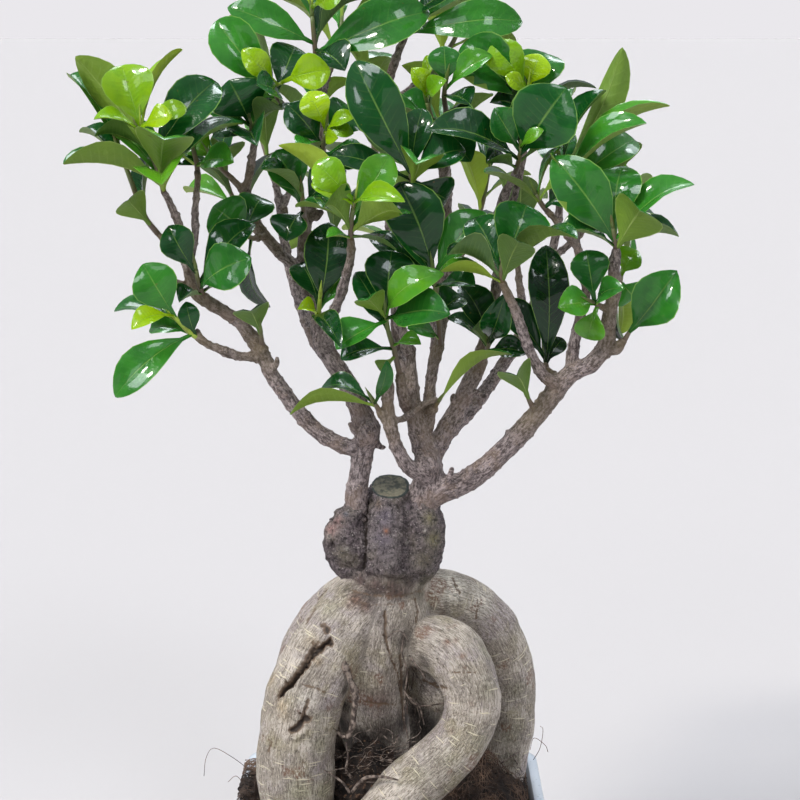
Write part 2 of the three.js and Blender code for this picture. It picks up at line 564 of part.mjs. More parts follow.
    wood: [[478, 362, 9, 3.2], [484, 356, 4, 2.2]],
    stem: [[488, 348, 0], [488, 338, -3]],
    leaves: [[0.3, 525, 352, 10, 15, -20], [0.7, 462, 284, 4, 20, 20], [0.6, 472, 326, 14, 13, 150],
      [0.8, 504, 298, 2, 18, 0], [0.5, 450, 314, 6, 11, 40]],
    more: { count: 1, length: 32, start: 90 },
  },
  // The rear of the crown.
  {
    name: 'rear_left_top', scion: 'left', wood: [],
    from: limbs.left.rear, stem: [[262, 140, 84], [256, 112, 88]],
    leaves: [], more: { count: 4, length: 42, start: 0 },
  },
  {
    name: 'rear_left_side', scion: 'left',
    wood: [[290, 262, 54, 2.3], [262, 236, 50, 2.0], [246, 220, 46, 1.7]],
    stem: [[232, 196, 42], [224, 170, 38]],
    leaves: [], more: { count: 5, length: 40, start: 70 },
  },
  {
    name: 'rear_left_inner', scion: 'left',
    wood: [[280, 210, 68, 2.2], [296, 180, 80, 1.9], [304, 160, 86, 1.7]],
    stem: [[312, 134, 92], [316, 104, 95]],
    leaves: [], more: { count: 4, length: 40, start: 140 },
  },
  {
    name: 'rear_left_low', scion: 'left',
    wood: [[304, 310, 36, 2.6], [322, 280, 56, 2.2], [330, 262, 66, 1.8]],
    stem: [[334, 236, 76], [334, 208, 82]],
    leaves: [], more: { count: 4, length: 40, start: 210 },
  },
  {
    name: 'rear_crown', scion: 'left',
    wood: [[319, 110, 17, 2.0], [326, 80, 34, 1.8], [334, 60, 44, 1.6]],
    stem: [[340, 38, 52], [342, 16, 58]],
    leaves: [], more: { count: 4, length: 40, start: 280 },
  },
  {
    name: 'rear_center', scion: 'right', wood: [],
    from: limbs.right.rear, stem: [[442, 134, 94], [436, 104, 95]],
    leaves: [], more: { count: 4, length: 42, start: 30 },
  },
  {
    name: 'rear_center_low', scion: 'right',
    wood: [[434, 324, 66, 2.4], [416, 290, 84, 2.1], [406, 270, 90, 1.8]],
    stem: [[398, 244, 98], [392, 214, 102]],
    leaves: [], more: { count: 4, length: 40, start: 100 },
  },
  {
    name: 'rear_center_side', scion: 'right',
    wood: [[440, 286, 74, 2.3], [462, 254, 92, 2.0], [472, 234, 98, 1.8]],
    stem: [[482, 206, 104], [488, 176, 106]],
    leaves: [], more: { count: 4, length: 40, start: 170 },
  },
  {
    name: 'rear_leader', scion: 'right',
    wood: [[388, 200, 38, 2.3], [378, 168, 50, 2.0], [374, 146, 55, 1.8]],
    stem: [[370, 116, 60], [370, 84, 62]],
    leaves: [], more: { count: 4, length: 40, start: 240 },
  },
  {
    name: 'rear_top', scion: 'right',
    wood: [[386, 108, 31, 2.0], [420, 80, 44, 1.8], [438, 64, 50, 1.6]],
    stem: [[452, 44, 56], [462, 22, 58]],
    leaves: [], more: { count: 4, length: 40, start: 310 },
  },
  {
    name: 'rear_right_top', scion: 'right', wood: [],
    from: limbs.right.rearRight, stem: [[560, 170, 74], [554, 138, 74]],
    leaves: [], more: { count: 4, length: 42, start: 60 },
  },
  {
    name: 'rear_right_side', scion: 'right',
    wood: [[548, 262, 66, 2.2], [574, 240, 52, 1.9], [588, 226, 46, 1.7]],
    stem: [[602, 204, 38], [612, 178, 32]],
    leaves: [], more: { count: 5, length: 38, start: 130 },
  },
  {
    name: 'rear_right_low', scion: 'right',
    wood: [[526, 322, 55, 2.4], [520, 288, 70, 2.1], [518, 268, 78, 1.8]],
    stem: [[516, 240, 86], [512, 210, 90]],
    leaves: [], more: { count: 4, length: 40, start: 200 },
  },
];

// ---- What leaves keep clear of ----
// A leaf is held by its corner points: a root inside the stem, three diamond-shaped rings and a tip.
const ringStations = [0, 0.36, 0.72];
const ringWidths = [0, 0.93, 0.88];
const ringThickness = [0.9, 1, 0.85];
const leafRows = ringStations.length;
const tipIndex = 1 + 4 * leafRows;
const leafTriangles = [];
const leafEdges = [];
for (let side = 0; side < 4; side += 1) {
  const next = (side + 1) % 4;
  leafTriangles.push([0, 1 + next, 1 + side]);
  leafEdges.push([0, 1 + side]);
  for (let row = 0; row < leafRows; row += 1) {
    const here = 1 + 4 * row;
    leafEdges.push([here + side, here + next]);
    if (row < leafRows - 1) {
      leafTriangles.push([here + side, here + next, here + 4 + next]);
      leafTriangles.push([here + side, here + 4 + next, here + 4 + side]);
      leafEdges.push([here + side, here + 4 + side]);
    } else {
      leafTriangles.push([here + side, here + next, tipIndex]);
      leafEdges.push([here + side, tipIndex]);
    }
  }
}
const bladeTriangles = leafTriangles.filter((triangle) => !triangle.includes(0));
const bladeEdges = leafEdges.filter((edge) => !edge.includes(0));

// Corner points of a leaf from its root on the stem's axis to its tip, with its top along normal.
function leafCorners({ root, tip, normal, width }, grow) {
  const along = tip.clone().sub(root);
  const length = along.length();
  along.divideScalar(length);
  const side = along.clone().cross(normal).normalize();
  const top = side.clone().cross(along);
  const neck = Math.min(petiole, 0.22 * length) / length;
  const corners = [root.clone().addScaledVector(along, -0.8)];
  for (let row = 0; row < leafRows; row += 1) {
    const station = neck + (1 - neck) * ringStations[row];
    const half = Math.max(petioleHalf, (width / 2) * ringWidths[row]) + grow;
    const thick = (bladeThickness / 2) * ringThickness[row] + grow;
    const rise = row === 0 ? 0 : fold * half;
    const middle = root.clone()
      .addScaledVector(along, length * station)
      .addScaledVector(top, 4 * arch * length * station * (1 - station));
    corners.push(middle.clone().addScaledVector(side, -half).addScaledVector(top, rise));
    corners.push(middle.clone().addScaledVector(top, thick));
    corners.push(middle.clone().addScaledVector(side, half).addScaledVector(top, rise));
    corners.push(middle.clone().addScaledVector(top, -thick));
  }
  corners.push(tip.clone().addScaledVector(along, grow));
  return corners;
}

// Whether the segment from a to b passes through the triangle p, q, r.
const pq = new THREE.Vector3();
const pr = new THREE.Vector3();
const ab = new THREE.Vector3();
const pa = new THREE.Vector3();
const cross = new THREE.Vector3();
function pierces(a, b, p, q, r) {
  ab.subVectors(b, a);
  pq.subVectors(q, p);
  pr.subVectors(r, p);
  cross.crossVectors(ab, pr);
  const turn = pq.dot(cross);
  if (Math.abs(turn) < 1e-9) return false;
  pa.subVectors(a, p);
  const u = pa.dot(cross) / turn;
  if (u < 0 || u > 1) return false;
  cross.crossVectors(pa, pq);
  const v = ab.dot(cross) / turn;
  if (v < 0 || u + v > 1) return false;
  const t = pr.dot(cross) / turn;
  return t >= 0 && t <= 1;
}

// The least distance between the segments a-b and c-d.
function segmentDistance(a, b, c, d) {
  const u = b.clone().sub(a);
  const v = d.clone().sub(c);
  const w = a.clone().sub(c);
  const uu = u.dot(u);
  const uv = u.dot(v);
  const vv = v.dot(v);
  const uw = u.dot(w);
  const vw = v.dot(w);
  const spread = uu * vv - uv * uv;
  let s = spread > 1e-9 ? THREE.MathUtils.clamp((uv * vw - vv * uw) / spread, 0, 1) : 0;
  const t = THREE.MathUtils.clamp((uv * s + vw) / vv, 0, 1);
  s = THREE.MathUtils.clamp((uv * t - uw) / uu, 0, 1);
  return w.addScaledVector(u, s).addScaledVector(v, -t).length();
}

const grown = []; // leaves already placed: { shoot, corners, box }
const rods = []; // straight lengths of wood and stem: { shoot, a, b, radius }

function fits(shoot, leaf) {
  const corners = leafCorners(leaf, clearance);
  const box = new THREE.Box3().setFromPoints(corners);
  for (const rod of rods) {
    if (rod.shoot === shoot || box.distanceToPoint(rod.a) > rod.reach) continue;
    const near = bladeEdges.some(([i, j]) => (
      segmentDistance(corners[i], corners[j], rod.a, rod.b) < rod.radius + clearance));
    if (near) return false;
    if (bladeTriangles.some(([i, j, k]) => pierces(rod.a, rod.b, corners[i], corners[j], corners[k]))) {
      return false;
    }
  }
  for (const other of grown) {
    if (!other.box.intersectsBox(box)) continue;
    const own = other.shoot === shoot;
    const edges = own ? bladeEdges : leafEdges;
    const triangles = own ? bladeTriangles : leafTriangles;
    const meets = (from, to) => edges.some(([i, j]) => triangles.some(([k, l, m]) => (
      pierces(from[i], from[j], to[k], to[l], to[m]))));
    if (meets(corners, other.corners) || meets(other.corners, corners)) return false;
  }
  grown.push({ shoot, corners, box });
  return true;
}

function addRods(shoot, points, radii) {
  for (let i = 0; i < points.length - 1; i += 1) {
    const radius = Math.max(radii[i], radii[i + 1]);
    const reach = points[i].distanceTo(points[i + 1]) + radius + clearance;
    rods.push({ shoot, a: points[i], b: points[i + 1], radius, reach });
  }
}

// ---- Stems ----
// A stem starts a gap beyond the end of its wood and carries on in the same line.
function stemOf(end, before, course) {
  const start = end.clone().addScaledVector(directionOf(end, before), gap);
  return [start, ...course.map(place)];
}

const directionOf = (end, before) => end.clone().sub(before).normalize();

const curveOf = (points) => new THREE.CatmullRomCurve3(points, false, 'catmullrom', 0.5);
const stemSteps = 3;

const leafyStems = [];
for (const shoot of shoots) {
  const wood = (shoot.from ?? shoot.wood).map(place);
  const points = stemOf(wood.at(-1), wood.at(-2), shoot.stem);
  leafyStems.push({
    ...shoot,
    points,
    radii: [stemRadius, stemTipRadius],
    startAlong: directionOf(wood.at(-1), wood.at(-2)),
  });
  if (shoot.young) {
    const tipPoints = stemOf(points.at(-1), points.at(-2), shoot.young.stem);
    leafyStems.push({
      name: `${shoot.name}_young`,
      points: tipPoints,
      radii: [youngRadius, youngRadius * 0.7],
      leaves: shoot.young.leaves,
      more: { count: 0 },
      isTip: true,
      startAlong: directionOf(points.at(-1), points.at(-2)),
    });
  }
}

for (const scion of Object.values(limbs)) {
  for (const trace of Object.values(scion)) addRods(null, trace.map(place), trace.map((p) => p[3]));
}
for (const shoot of shoots) addRods(null, shoot.wood.map(place), shoot.wood.map((p) => p[3]));
for (const shoot of leafyStems) {
  addRods(shoot.name, shoot.points, shoot.points.map(() => shoot.radii[0]));
}

// ---- Leaves ----
// Traced leaves come first. One that would cross something swings its tip in depth.
const swings = [0, -5, 5, -10, 10, -16, 16, -23, 23];
const leaves = [];

function tracedLeaf(shoot, [at, column, row, toward, width, turn], swing) {
  const root = curveOf(shoot.points).getPoint(at);
  const tip = place([column, row, root.y - toward - swing]);
  const along = tip.clone().sub(root).normalize();
  const facing = eye.clone().sub(root);
  facing.addScaledVector(along, -facing.dot(along)).normalize();
  const normal = facing.applyAxisAngle(along, THREE.MathUtils.degToRad(turn));
  return { root, tip, normal, width };
}

for (const shoot of leafyStems) {
  for (const trace of shoot.leaves) {
    const leaf = swings.map((swing) => tracedLeaf(shoot, trace, swing)).find((one) => fits(shoot.name, one));
    if (leaf) leaves.push({ shoot: shoot.name, ...leaf });
  }
}

// The other leaves follow the spiral of the twig, from wide open at its foot to steep at its bud.
const goldenTurn = 137.5;
const openAngle = 84;
const steepAngle = 30;
const lean = 0.35; // how much a leaf leans away from the crown's middle
const slenderness = 0.52; // width for each millimetre of length
const crownMiddle = new THREE.Vector3(0, 0, 330);
const retries = [0, 16, -16, 32, -32, 48, -48, 64, -64];

let seed = 20241;
function random() {
  seed = (seed * 16807) % 2147483647;
  return seed / 2147483647;
}

function spiralLeaf(shoot, index, chance, retry, shorter) {
  const { count, length, start } = shoot.more;
  const at = (index + 0.6) / count;
  const curve = curveOf(shoot.points);
  const root = curve.getPoint(at);
  const axis = curve.getTangent(at);
  const across = new THREE.Vector3(0.3, -0.9, 0.31);
  across.addScaledVector(axis, -across.dot(axis)).normalize();
  const third = axis.clone().cross(across);
  const turn = THREE.MathUtils.degToRad(start + goldenTurn * index + 24 * (chance[0] - 0.5) + retry);
  const polar = THREE.MathUtils.degToRad(
    THREE.MathUtils.lerp(openAngle, steepAngle, at) + 16 * (chance[1] - 0.5));
  const outward = root.clone().sub(crownMiddle).normalize();
  const along = axis.clone().multiplyScalar(Math.cos(polar))
    .addScaledVector(across, Math.sin(polar) * Math.cos(turn))
    .addScaledVector(third, Math.sin(polar) * Math.sin(turn))
    .addScaledVector(outward, lean)
    .normalize();
  const reach = length * (0.86 + 0.28 * chance[2]) * (1 - 0.2 * at) * shorter;
  const normal = axis.clone().addScaledVector(outward, 0.3);
  normal.z += 0.3;
  normal.addScaledVector(along, -normal.dot(along)).normalize();
  normal.applyAxisAngle(along, THREE.MathUtils.degToRad(40 * (chance[3] - 0.5)));
  return { root, tip: root.clone().addScaledVector(along, reach), normal, width: reach * slenderness };
}

for (const shoot of leafyStems) {
  for (let index = 0; index < shoot.more.count; index += 1) {
    const chance = [random(), random(), random(), random()];
    const tries = [1, 0.8].flatMap((shorter) => retries.map((retry) => (
      spiralLeaf(shoot, index, chance, retry, shorter))));
    const leaf = tries.find((one) => fits(shoot.name, one));
    if (leaf) leaves.push({ shoot: shoot.name, ...leaf });
  }
}

function leafBody(leaf) {
  const corners = leafCorners(leaf, 0);
  return solid(corners.flatMap((corner) => corner.toArray()), leafTriangles.flat());
}

// ---- The pieces ----
const limbOptions = { sides: 5, spacing: 28, uneven: 0.05 };

function scionBody(side, grow) {
  const options = { ...limbOptions, grow };
  const bodies = Object.values(limbs[side]).map((trace) => traced(trace, options));
  for (const { scion, wood } of shoots) {
    if (scion === side && wood.length > 0) bodies.push(traced(wood, { ...options, sides: 4, spacing: 40 }));
  }
  return fuse(bodies);
}

const graftOf = (side) => traced(limbs[side].trunk.slice(0, 5), { ...limbOptions, grow: gap });
const grafts = fuse([graftOf('left'), graftOf('right'),
  traced(limbs.right.outer.slice(0, 3), { ...limbOptions, grow: gap })]);

piece('rootstock', rootstockBody(0).subtract(grafts), rootBark);
piece('scion_left', scionBody('left', 0), limbBark);
piece('scion_right', scionBody('right', 0), limbBark);

// Soil: a mound of coir and peat that fills the pot and is open round every root.
const moundRings = [
  roundedSquare(potWidth - 2 * potWall - 6, 10, soilTop - 4),
  roundedSquare(potWidth - 2 * potWall - 10, 14, soilTop),
  roundedSquare(potWidth * 0.72, 30, soilTop + 0.6 * moundHeight),
  roundedSquare(potWidth * 0.4, 26, soilTop + moundHeight),
];
const soilBody = potInside(gap, soilTop - 2).add(loft(moundRings));
piece('soil', soilBody.subtract(rootstockBody(gap)), earth);

for (const shoot of leafyStems) {
  const radii = shoot.points.map((point, index) => (
    THREE.MathUtils.lerp(shoot.radii[0], shoot.radii[1], index / (shoot.points.length - 1))));
  const spacing = shoot.points[0].distanceTo(shoot.points.at(-1)) / stemSteps;
  const stem = tube(shoot.points, radii, { sides: 4, spacing, startAlong: shoot.startAlong });
  const own = leaves.filter((leaf) => leaf.shoot === shoot.name).map(leafBody);
  piece(shoot.name, fuse([stem, ...own]), shoot.isTip ? youngLeaf : matureLeaf);
}

group.userData.leafCount = leaves.length;

export default group;
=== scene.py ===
# A bonsai fig in a square glazed pot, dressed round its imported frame.
# Metres, +Z up, the tree's front towards -Y, the origin under the middle of the pot.
import math
import random

import bmesh
import bpy
import numpy as np
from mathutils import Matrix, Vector, noise


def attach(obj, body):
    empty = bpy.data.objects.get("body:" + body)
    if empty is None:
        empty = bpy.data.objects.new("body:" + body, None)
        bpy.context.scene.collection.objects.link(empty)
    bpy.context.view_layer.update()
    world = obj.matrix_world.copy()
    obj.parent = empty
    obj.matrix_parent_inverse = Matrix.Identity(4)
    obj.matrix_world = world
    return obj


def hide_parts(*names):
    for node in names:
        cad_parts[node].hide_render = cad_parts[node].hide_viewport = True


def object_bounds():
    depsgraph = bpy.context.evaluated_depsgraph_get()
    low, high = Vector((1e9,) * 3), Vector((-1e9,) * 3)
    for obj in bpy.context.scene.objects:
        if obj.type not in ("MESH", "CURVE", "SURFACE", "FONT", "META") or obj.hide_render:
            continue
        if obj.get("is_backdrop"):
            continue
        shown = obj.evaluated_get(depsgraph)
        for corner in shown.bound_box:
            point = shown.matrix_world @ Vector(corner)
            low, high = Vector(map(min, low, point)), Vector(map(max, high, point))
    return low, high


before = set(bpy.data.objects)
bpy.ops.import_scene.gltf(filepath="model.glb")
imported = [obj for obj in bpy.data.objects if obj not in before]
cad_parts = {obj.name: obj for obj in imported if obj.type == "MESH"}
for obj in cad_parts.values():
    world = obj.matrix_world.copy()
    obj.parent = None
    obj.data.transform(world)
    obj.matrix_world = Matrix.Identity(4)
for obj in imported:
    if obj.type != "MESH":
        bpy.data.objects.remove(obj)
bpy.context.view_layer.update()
bpy.ops.object.select_all(action="DESELECT")

# ---- Camera ----
# It stands level with the crown's middle and looks a little down. The tree was traced on the
# picture it takes: a column and a row of 800 by 800 pixels, with a depth in millimetres
# towards the back, name one place in the tree.
lens_in_pixels = 1804
picture_middle = 400
camera_pitch = math.radians(11.4)
ahead = Vector((0, math.cos(camera_pitch), -math.sin(camera_pitch)))
overhead = Vector((0, math.sin(camera_pitch), math.cos(camera_pitch)))
camera_aim = Vector((0.00425, 0, 0.302))
camera_distance = 0.902
eye = camera_aim - camera_distance * ahead

bpy.ops.object.camera_add(location=eye, rotation=(math.pi / 2 - camera_pitch, 0, 0))
camera = bpy.context.object
camera.name = "camera"
sensor_width = 36
camera.data.sensor_width = sensor_width
camera.data.lens = sensor_width * lens_in_pixels / (2 * picture_middle)
camera.data.clip_start = 0.01
bpy.context.scene.camera = camera


def sight(column, row):
    """The camera's line of sight through a pixel."""
    ray = ahead + overhead * ((picture_middle - row) / lens_in_pixels)
    ray.x += (column - picture_middle) / lens_in_pixels
    return ray


def place(column, row, depth):
    """The point that lies at a depth behind a pixel."""
    ray = sight(column, row)
    return eye + ray * ((depth / 1000 - eye.y) / ray.y)


# ---- Pot ----
# One slip-cast ceramic pot, square with rounded corners and a band under its lip. It is glazed
# pale blue-white inside and out, down to a bare foot ring, and drains through two holes.
pot_foot = 0.1290
foot_corner = 0.013
# Its section, up the outside, over the lip and down the inside: (width, height).
pot_outside = [(0.1340, 0.0025), (0.1420, 0.0290), (0.1500, 0.0540), (0.1556, 0.0690),
               (0.1600, 0.0712), (0.1620, 0.0736), (0.1620, 0.0822), (0.1608, 0.0843),
               (0.1580, 0.0850)]
pot_inside = [(0.1535, 0.0850), (0.1508, 0.0842), (0.1494, 0.0825), (0.1440, 0.0620),
              (0.1268, 0.0096), (0.1230, 0.0080)]
drain_offset = 0.028
drain_radius = 0.007
drill_length = 0.04


def apply_modifier(piece, kind, **settings):
    bpy.context.view_layer.objects.active = piece
    modifier = piece.modifiers.new(kind.lower(), kind)
    for name, value in settings.items():
        setattr(modifier, name, value)
    bpy.ops.object.modifier_apply(modifier=modifier.name)


def smooth(piece, degrees):
    bpy.ops.object.select_all(action="DESELECT")
    piece.select_set(True)
    bpy.context.view_layer.objects.active = piece
    bpy.ops.object.shade_smooth_by_angle(angle=math.radians(degrees))


bpy.ops.mesh.primitive_plane_add(size=pot_foot)
pot = bpy.context.object
pot.name = "glazed_pot"
bpy.ops.object.mode_set(mode="EDIT")
bpy.ops.mesh.bevel(offset=foot_corner, segments=9, affect="VERTICES")
width, height = pot_foot, 0
for next_width, next_height in pot_outside + pot_inside:
    rise = (0, 0, next_height - height)
    bpy.ops.mesh.extrude_region_move(TRANSFORM_OT_translate={"value": rise})
    bpy.ops.transform.resize(value=(next_width / width, next_width / width, 1))
    width, height = next_width, next_height
bpy.ops.mesh.select_all(action="SELECT")
bpy.ops.mesh.normals_make_consistent(inside=False)
bpy.ops.object.mode_set(mode="OBJECT")
for x in (-drain_offset, drain_offset):
    bpy.ops.mesh.primitive_cylinder_add(vertices=32, radius=drain_radius, depth=drill_length,
                                        location=(x, 0, 0.004))
    drill = bpy.context.object
    apply_modifier(pot, "BOOLEAN", object=drill, operation="DIFFERENCE", solver="EXACT")
    bpy.data.objects.remove(drill)
smooth(pot, 32)


def colour(red, green, blue):
    """A colour given in the 0 to 255 steps of a picture."""
    steps = [value / 255 for value in (red, green, blue)]
    return (*[v / 12.92 if v < 0.04045 else ((v + 0.055) / 1.055) ** 2.4 for v in steps], 1)


def new_material(name, **constants):
    """A material with one shader, whose constants are named with _ for a space."""
    material = bpy.data.materials.new(name)
    material.use_nodes = True
    tree = material.node_tree
    shader = tree.nodes["Principled BSDF"]
    for socket, value in constants.items():
        shader.inputs[socket.replace("_", " ")].default_value = value
    return material, tree, shader


def add_node(tree, kind, inputs=(), **settings):
    """Adds a node. inputs gives its sockets, by name or number, a value or the output to read."""
    made = tree.nodes.new("ShaderNode" + kind)
    for name, value in settings.items():
        setattr(made, name, value)
    for socket, value in dict(inputs).items():
        if isinstance(value, bpy.types.NodeSocket):
            tree.links.new(value, made.inputs[socket])
        else:
            made.inputs[socket].default_value = value
    return made


def scaled(tree, vector, factors):
    """The coordinates stretched by a factor along each axis."""
    return add_node(tree, "VectorMath", {0: vector, 1: factors}, operation="MULTIPLY").outputs[0]


def speckle(tree, vector, scale, detail=3, roughness=0.55):
    inputs = {"Vector": vector, "Scale": scale, "Detail": detail, "Roughness": roughness}
    return add_node(tree, "TexNoise", inputs).outputs["Fac"]


def between(tree, value, low, high, to_low=0.0, to_high=1.0):
    """Turns the range from low to high into the range from to_low to to_high, with smooth ends."""
    inputs = {"Value": value, "From Min": low, "From Max": high, "To Min": to_low, "To Max": to_high}
    made = add_node(tree, "MapRange", inputs, interpolation_type="SMOOTHSTEP")
    return made.outputs["Result"]


def combine(tree, first, second, operation="MULTIPLY"):
    return add_node(tree, "Math", {0: first, 1: second}, operation=operation).outputs[0]


def blend(tree, share, first, second, blend_type="MIX"):
    made = add_node(tree, "Mix", {"Factor": share}, data_type="RGBA", blend_type=blend_type)
    for socket, value in ((made.inputs[6], first), (made.inputs[7], second)):
        if isinstance(value, bpy.types.NodeSocket):
            tree.links.new(value, socket)
        else:
            socket.default_value = value
    return made.outputs[2]


def coated(tree, under, *coats):
    """A colour with coats over it, each a share of the surface and the colour it has there."""
    for share, shade in coats:
        shade = shade if isinstance(shade, bpy.types.NodeSocket) else colour(*shade)
        under = blend(tree, share, under, shade)
    return under


def feed(tree, output, shader, socket):
    tree.links.new(output, shader.inputs[socket])


def raise_surface(tree, shader, height, strength, distance, below=None):
    """A bump from a height, on top of another bump where there is one."""
    inputs = {"Height": height, "Strength": strength, "Distance": distance}
    if below:
        inputs["Normal"] = below
    made = add_node(tree, "Bump", inputs)
    feed(tree, made.outputs["Normal"], shader, "Normal")
    return made.outputs["Normal"]


def coordinates(tree):
    return add_node(tree, "TexCoord").outputs["Object"]


glaze, tree, shader = new_material("blue_white_glaze", Roughness=0.16, Coat_Weight=0.6,
                                   Coat_Roughness=0.05)
spot = coordinates(tree)
height = add_node(tree, "SeparateXYZ", {0: spot}).outputs["Z"]
clouds = between(tree, speckle(tree, spot, 26), 0.35, 0.7)
pinholes = between(tree, speckle(tree, spot, 620, 1), 0.70, 0.76)
uneven_height = combine(tree, height, combine(tree, clouds, 0.0012), "ADD")
bare = between(tree, uneven_height, 0.0030, 0.0042, 1.0, 0.0)
glaze_colour = coated(tree, colour(204, 212, 220), (clouds, (214, 220, 227)),
                      (pinholes, (168, 180, 188)), (bare, (202, 190, 172)))
feed(tree, glaze_colour, shader, "Base Color")
feed(tree, between(tree, bare, 0.0, 1.0, 0.16, 0.8), shader, "Roughness")
waves = speckle(tree, spot, 70, 2)
raise_surface(tree, shader, waves, 0.25, 0.0006)
pot.data.materials.append(glaze)
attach(pot, "root")
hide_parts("pot")

# ---- Soil ----
# A root ball of dark peat and reddish coir fills the pot and mounds up round the roots. Loose
# crumbs and coir hairs lie on it, and a few stray hairs reach over the pot's lip.
soil_edge = 0.0735
soil_corner = 0.013
soil_rows = 110
mound_top = 0.0885
mound_fall = 0.0105
rim_fall = 0.004
# Where it is heaped round the roots: (x, y, reach, rise).
soil_heaps = [(0.046, 0.014, 0.015, 0.012), (0.058, 0.034, 0.020, 0.011),
              (0.052, -0.004, 0.016, 0.006), (-0.004, -0.012, 0.024, 0.014),
              (0.012, 0.022, 0.024, 0.012), (-0.064, 0.030, 0.018, 0.006),
              (-0.030, 0.052, 0.030, 0.006), (-0.072, 0.046, 0.018, 0.013),
              (-0.070, 0.012, 0.016, 0.008)]

bpy.ops.mesh.primitive_grid_add(x_subdivisions=soil_rows, y_subdivisions=soil_rows,
                                size=2 * soil_edge)
soil = bpy.context.object
soil.name = "peat_and_coir"


def soil_height(x, y):
    """The mound: steep by the wall, then nearly flat to its top."""
    outward = max(abs(x), abs(y)) / soil_edge
    lumps = 0.0012 * math.sin(70 * x + 1.3) * math.cos(55 * y)
    lumps += 0.0008 * math.sin(140 * x - 120 * y)
    for heap_x, heap_y, reach, rise in soil_heaps:
        lumps += rise * math.exp(-((x - heap_x) ** 2 + (y - heap_y) ** 2) / reach ** 2)
    return mound_top - mound_fall * outward ** 3 - rim_fall * max(0.0, outward - 0.93) / 0.07 + lumps


# The square grid is drawn in at its corners, to the pot's round ones, and raised to the mound.
for corner in soil.data.vertices:
    x, y, _ = corner.co
    over_x = max(0.0, abs(x) - (soil_edge - soil_corner))
    over_y = max(0.0, abs(y) - (soil_edge - soil_corner))
    over = math.hypot(over_x, over_y)
    square = max(over_x, over_y)
    if over_x > 0 and over_y > 0:
        x = math.copysign(soil_edge - soil_corner + over_x * square / over, x)
        y = math.copysign(soil_edge - soil_corner + over_y * square / over, y)
    corner.co = (x, y, soil_height(x, y))
bpy.ops.object.mode_set(mode="EDIT")
bpy.ops.mesh.select_all(action="DESELECT")
bpy.ops.mesh.select_mode(type="EDGE")
bpy.ops.mesh.select_non_manifold()
for width, height in ((0.985, 0.060), (0.86, 0.0085)):
    bpy.ops.mesh.extrude_region_move()
    bpy.ops.transform.resize(value=(width, width, 1))
    shape = bmesh.from_edit_mesh(soil.data)
    for corner in shape.verts:
        if corner.select:
            corner.co.z = height
bpy.ops.mesh.edge_face_add()
bpy.ops.mesh.select_all(action="SELECT")
bpy.ops.mesh.normals_make_consistent(inside=False)
bpy.ops.object.mode_set(mode="OBJECT")

on_top = [corner.index for corner in soil.data.vertices
          if corner.co.z > 0.073 and max(abs(corner.co.x), abs(corner.co.y)) < soil_edge - 0.001]
soil.vertex_groups.new(name="top").add(on_top, 1.0, "REPLACE")


def rough_texture(name, kind, size, **settings):
    texture = bpy.data.textures.new(name, kind)
    texture.noise_scale = size
    for key, value in settings.items():
        setattr(texture, key, value)
    return texture


def roughen(piece, texture, strength, group="", mid_level=0.5):
    """Pushes the skin in and out by a texture, where the group has weight if one is named."""
    apply_modifier(piece, "DISPLACE", texture=texture, strength=strength, mid_level=mid_level,
                   vertex_group=group, texture_coords="LOCAL")


clods = rough_texture("clods", "CLOUDS", 0.006, noise_depth=3)
grit = rough_texture("grit", "CLOUDS", 0.0022, noise_depth=2)
roughen(soil, clods, 0.0048, "top")
roughen(soil, grit, 0.0022, "top")
bpy.ops.object.shade_smooth()

peat, tree, shader = new_material("peat_and_coir", Roughness=0.95)
spot = coordinates(tree)
peat_colour = coated(
    tree, colour(24, 19, 16),
    (between(tree, speckle(tree, spot, 130, 4), 0.35, 0.66), (58, 44, 36)),
    (between(tree, speckle(tree, spot, 520, 3), 0.58, 0.70), (96, 72, 54)),
    (between(tree, speckle(tree, spot, 900, 2), 0.68, 0.74), (168, 150, 128)))
feed(tree, peat_colour, shader, "Base Color")
raise_surface(tree, shader, speckle(tree, spot, 750, 4), 0.9, 0.0009)
soil.data.materials.append(peat)
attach(soil, "root")
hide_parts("soil")


def swept(name, lines, round_steps=2):
    """Closed round tubes as one mesh. A line is a list of (point, radius)."""
    bpy.ops.curve.primitive_bezier_curve_add()
    tube = bpy.context.object
    tube.name = name
    tube.data.splines.clear()
    for line in lines:
        spline = tube.data.splines.new("POLY")
        spline.points.add(len(line) - 1)
        for knot, (point, radius) in zip(spline.points, line):
            knot.co = (*point, 1)
            knot.radius = radius
    tube.data.dimensions = "3D"
    tube.data.bevel_depth = 1
    tube.data.bevel_resolution = round_steps
    tube.data.use_fill_caps = True
    bpy.ops.object.convert(target="MESH")
    tube = bpy.context.object
    bpy.ops.object.mode_set(mode="EDIT")
    bpy.ops.mesh.select_all(action="SELECT")
    bpy.ops.mesh.remove_doubles(threshold=0.000002)
    bpy.ops.mesh.normals_make_consistent(inside=False)
    bpy.ops.object.mode_set(mode="OBJECT")
    return tube


def smooth_course(points, share):
    """The place at that share of the smooth line through the points."""
    last = len(points) - 1
    at = min(share * last, last - 1e-9)
    span = int(at)
    within = at - span
    here, there = points[span], points[span + 1]
    before = points[span - 1] if span > 0 else 2 * here - there
    after = points[span + 2] if span + 2 <= last else 2 * there - here
    leaving, arriving = (there - before) / 2, (after - here) / 2
    return (here + leaving * within + (3 * (there - here) - 2 * leaving - arriving) * within ** 2
            + (2 * (here - there) + leaving + arriving) * within ** 3)


hair_radius = 0.00013
hair_parts = 5


